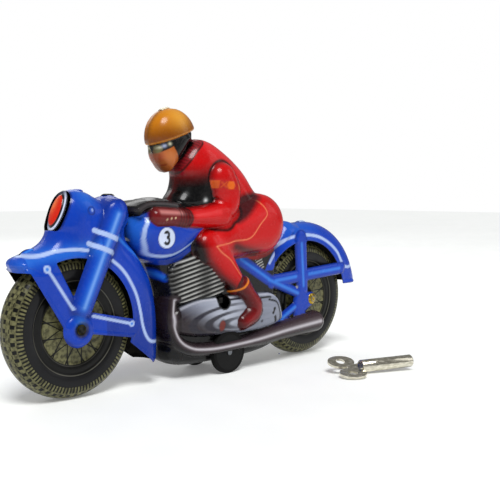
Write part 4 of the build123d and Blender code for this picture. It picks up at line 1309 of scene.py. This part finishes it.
def key_wings(u, v):
    """Signed distance to the flat bow: two rounded wings with a hole each, and a neck."""
    wings = [np.hypot((u + 6.6) / 6.2, (v - mid) / 4.9) - 1 for mid in (-5.6, 5.6)]
    holes = [np.hypot(u + 6.8, (v - mid) / 1.1) - 2.0 for mid in (-5.8, 5.8)]
    neck = np.maximum(np.abs(u + 2.6) - 3.4, np.abs(v) - 2.4)
    return np.maximum(np.minimum.reduce([wings[0] * 4.9, wings[1] * 4.9, neck]), -np.minimum(*holes))


def key_bow(origin, along, normal):
    """The bow in the plane of the CAD bow, slightly curled."""
    sideways = np.cross(normal, along)
    bow = pressed_sheet(
        "key_wings", key_wings, lambda u, v: np.zeros_like(u), lambda u, v, side: np.ones((len(u), 3)),
        (-13.4, -11.2), (1.2, 11.2), LEFT,
    )
    for vertex in bow.data.vertices:
        u, v = vertex.co.x, vertex.co.z
        curl = 0.00027 * math.cos(min(abs(v) / (11 * MM), 1.0) * math.pi)
        vertex.co = Vector(origin + along * u + sideways * v + normal * curl)
    add_sheet(bow, 1.0, 0)
    soften = bow.modifiers.new("edge", "BEVEL")
    soften.width = 0.22 * MM
    soften.segments = 2
    soften.limit_method = "ANGLE"
    soften.angle_limit = math.radians(50)
    return bow


def make_key(nickel):
    bow_mid, bow_axes = oriented("key_bow")
    _, tube_axes = oriented("key_tube", away_from=bow_mid)
    barrel, origin = key_barrel(tube_axes[0])
    bow = key_bow(origin, tube_axes[0], bow_axes[2])
    for piece, node in ((barrel, "key_tube"), (bow, "key_bow")):
        finish_piece(piece, "key", "nickel", nickel)
        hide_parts(node)


# ---------------------------------------------------------------- seam tabs
def make_tab(name, spot, heading, length, tint):
    """A small tongue folded over the seam to hold the halves together."""
    along = np.array((math.cos(math.radians(heading)), math.sin(math.radians(heading))))
    out = np.array((-along[1], along[0]))
    cols, rows = 9, 7
    verts, faces = [], []
    for u in np.linspace(-0.5, 0.5, cols) * length:
        for v in np.linspace(-1, 1, rows):
            lift = 0.32 - 0.5 * v * v - 0.25 * (2 * u / length) ** 6
            p = spot + along * u + out * lift
            verts.append((p[0] * MM, 1.5 * v * MM, p[1] * MM))
    for i in range(cols - 1):
        for a in range(i * rows, (i + 1) * rows - 1):
            faces.append((a, a + rows, a + rows + 1, a + 1))
    mesh = bpy.data.meshes.new(name)
    mesh.from_pydata(verts, [], faces)
    colours_on(mesh, np.tile(tint, (len(verts), 1)))
    mesh.polygons.foreach_set("use_smooth", [True] * len(mesh.polygons))
    tab = link(name, mesh)
    add_sheet(tab, SHEET, 0)
    return tab


BODY_TABS = [
    ("helmet_tab", (-18.6, 114.75), 17, 4.0, colour("e9dfc4")),
    ("back_tab", (14.5, 96.6), -28, 4.0, RED),
    # the saddle tab takes the dark red of the painted shade at the rider's back
    ("saddle_tab", (45.6, 67.0), -75, 4.0, RED_DEEP),
    ("tail_tab_front", (68.8, 65.8), 0, 4.2, STRIPE),
    ("tail_tab_rear", (103.4, 43.2), -66, 4.2, BLUE),
    ("engine_tab_front", (-10.0, 5.0), 180, 4.0, BLACK),
    ("engine_tab_rear", (24.0, 5.1), 180, 4.0, BLACK),
]
FRONT_TABS = [
    ("lamp_tab", (-62.0, 80.7), 0, 3.6, BLUE),
    ("cap_tab", (-47.6, 79.0), 0, 4.4, DARK),
    # the nose tab takes the pale blue of the painted highlight along the fender's top
    ("nose_tab", (-84.0, 58.2), 22, 4.0, BLUE_LIGHT),
    ("guard_tab", (-29.9, 45.0), -66, 4.0, BLUE),
]


def make_tabs(printed):
    for tabs, body, slot in ((BODY_TABS, "chassis", "body_tin"), (FRONT_TABS, "front_fork", "blue_tin")):
        for tab in tabs:
            finish_piece(make_tab(*tab), body, slot, printed)


# ---------------------------------------------------------------- CAD nodes that stay
def dress_cad(looks):
    """Gives every CAD node that shows the procedural metal or rubber of its record slot."""
    slots = {row["node"]: row["material_slot"] for row in frame["record"]["subparts"]}
    for node, piece in frame["nodes"].items():
        look = looks.get(node, looks.get(slots.get(node), looks["bare_steel"]))
        if not piece.material_slots:
            piece.data.materials.append(look)
        for held in piece.material_slots:
            held.material = look


# ---------------------------------------------------------------- studio
def make_floor():
    floor_mesh = bpy.data.meshes.new("studio_floor")
    size = 3.0
    corners = [(-size, -size, 0), (size, -size, 0), (size, size, 0), (-size, size, 0)]
    floor_mesh.from_pydata(corners, [], [(0, 1, 2, 3)])
    floor = link("studio_floor", floor_mesh)
    paper = Look("paper")
    paper.colour(paper.mix(colour("fbfcfb"), colour("f1f4f2"), paper.noise(6, 2)))
    paper.roughness(paper.noise(40, 2).ramp(0.3, 0.7, 0.6, 0.75))
    paper.set(Emission_Color=(1, 1, 1, 1), Emission_Strength=0.14)
    floor_mesh.materials.append(paper.material)


def make_light(name, spot, aim, size, power, tone=(1, 1, 1)):
    lamp = bpy.data.lights.new(name, "AREA")
    lamp.shape = "RECTANGLE"
    lamp.size, lamp.size_y = size
    lamp.energy = power
    lamp.color = tone
    holder = bpy.data.objects.new(name, lamp)
    holder.location = spot
    holder.rotation_euler = (Vector(aim) - Vector(spot)).to_track_quat("-Z", "Y").to_euler()
    bpy.context.scene.collection.objects.link(holder)


SKY_LIGHT = 0.28  # of the white room, on the toy; the room itself shows as white


def make_studio():
    world = bpy.data.worlds.new("studio")
    world.use_nodes = True
    sky = world.node_tree.nodes["Background"]
    sky.inputs["Color"].default_value = (1.0, 1.0, 1.0, 1)
    ray = world.node_tree.nodes.new("ShaderNodeLightPath")
    level = Field(world.node_tree, ray.outputs["Is Camera Ray"]).ramp(0.0, 1.0, SKY_LIGHT, 1.0)
    world.node_tree.links.new(level.socket, sky.inputs["Strength"])
    bpy.context.scene.world = world
    bpy.context.scene.view_settings.view_transform = "Standard"
    make_sun("soft_sun", (-0.30, -0.42, 0.85), 25, 2.25)
    make_light("key_light", (-0.35, -0.45, 0.75), (0, 0, 0.04), (0.4, 0.4), 0.7)
    make_light("side_light", (0.6, -0.5, 0.4), (0, 0, 0.04), (0.3, 0.6), 0.6)
    make_light("back_light", (0.2, 0.8, 0.6), (0, 0, 0.04), (0.8, 0.4), 1.5)


def make_sun(name, toward, spread, power):
    """Even light on the whole floor, from a direction, soft at the shadow's edge."""
    sun = bpy.data.lights.new(name, "SUN")
    sun.angle = math.radians(spread)
    sun.energy = power
    holder = bpy.data.objects.new(name, sun)
    holder.rotation_euler = Vector(toward).to_track_quat("Z", "Y").to_euler()
    bpy.context.scene.collection.objects.link(holder)


def make_camera():
    """A normal lens from the front left, a little above the toy."""
    lens = bpy.data.cameras.new("camera")
    lens.lens = 56.4
    lens.sensor_width = 36
    lens.shift_x, lens.shift_y = 0.106, 0.066
    camera = bpy.data.objects.new("camera", lens)
    camera.location = (-0.2292, -0.2590, 0.0793)
    toward = Vector((0, 0, 0.040)) - camera.location
    camera.rotation_euler = toward.to_track_quat("-Z", "Y").to_euler()
    bpy.context.scene.collection.objects.link(camera)
    bpy.context.scene.camera = camera


def main():
    make_camera()
    make_studio()
    make_floor()
    looks = {
        "bare_steel": metal("steel_sheet", "5f6266", "94979b", 0.28, 900, (1, 1, 6)),
        "spring_steel": metal("blued_steel", "2b3140", "5b6473", 0.25, 700, (1, 8, 1)),
        "brass": metal("bright_brass", "8f7220", "cdb04c", 0.18, 600),
        "drive_wheel_black": metal("black_lacquer", "040404", "0a0a0b", 0.45, 500, metallic=0.0),
        "drive_rubber": metal("black_rubber", "060606", "0d0c0c", 0.75, 1500, metallic=0.0, bump=0.00006),
        "nickel": metal("nickel_plate", "b9b4a2", "e9e4d4", 0.12, 500, (1, 1, 3)),
        # darker brass for the front axle's eyelets than for the rear caps
        "front_axle_eyelets": metal("dark_brass", "1c1a12", "4a452c", 0.42, 600),
        "front_axle": metal("dull_steel", "1a1a1a", "3c3c3a", 0.45, 600),
    }
    looks["winding_arbor"] = looks["front_axle"]
    tin = metal("tin_inside", "151412", "242220", 0.5, 300)
    printed = litho("printed_tin", 0.16)
    make_halves(tin, printed)
    make_wheels()
    make_lens(printed)
    make_mainspring(looks["spring_steel"])
    make_axle_caps(looks["brass"])
    make_key(looks["nickel"])
    make_tabs(printed)
    dress_cad(looks)


main()
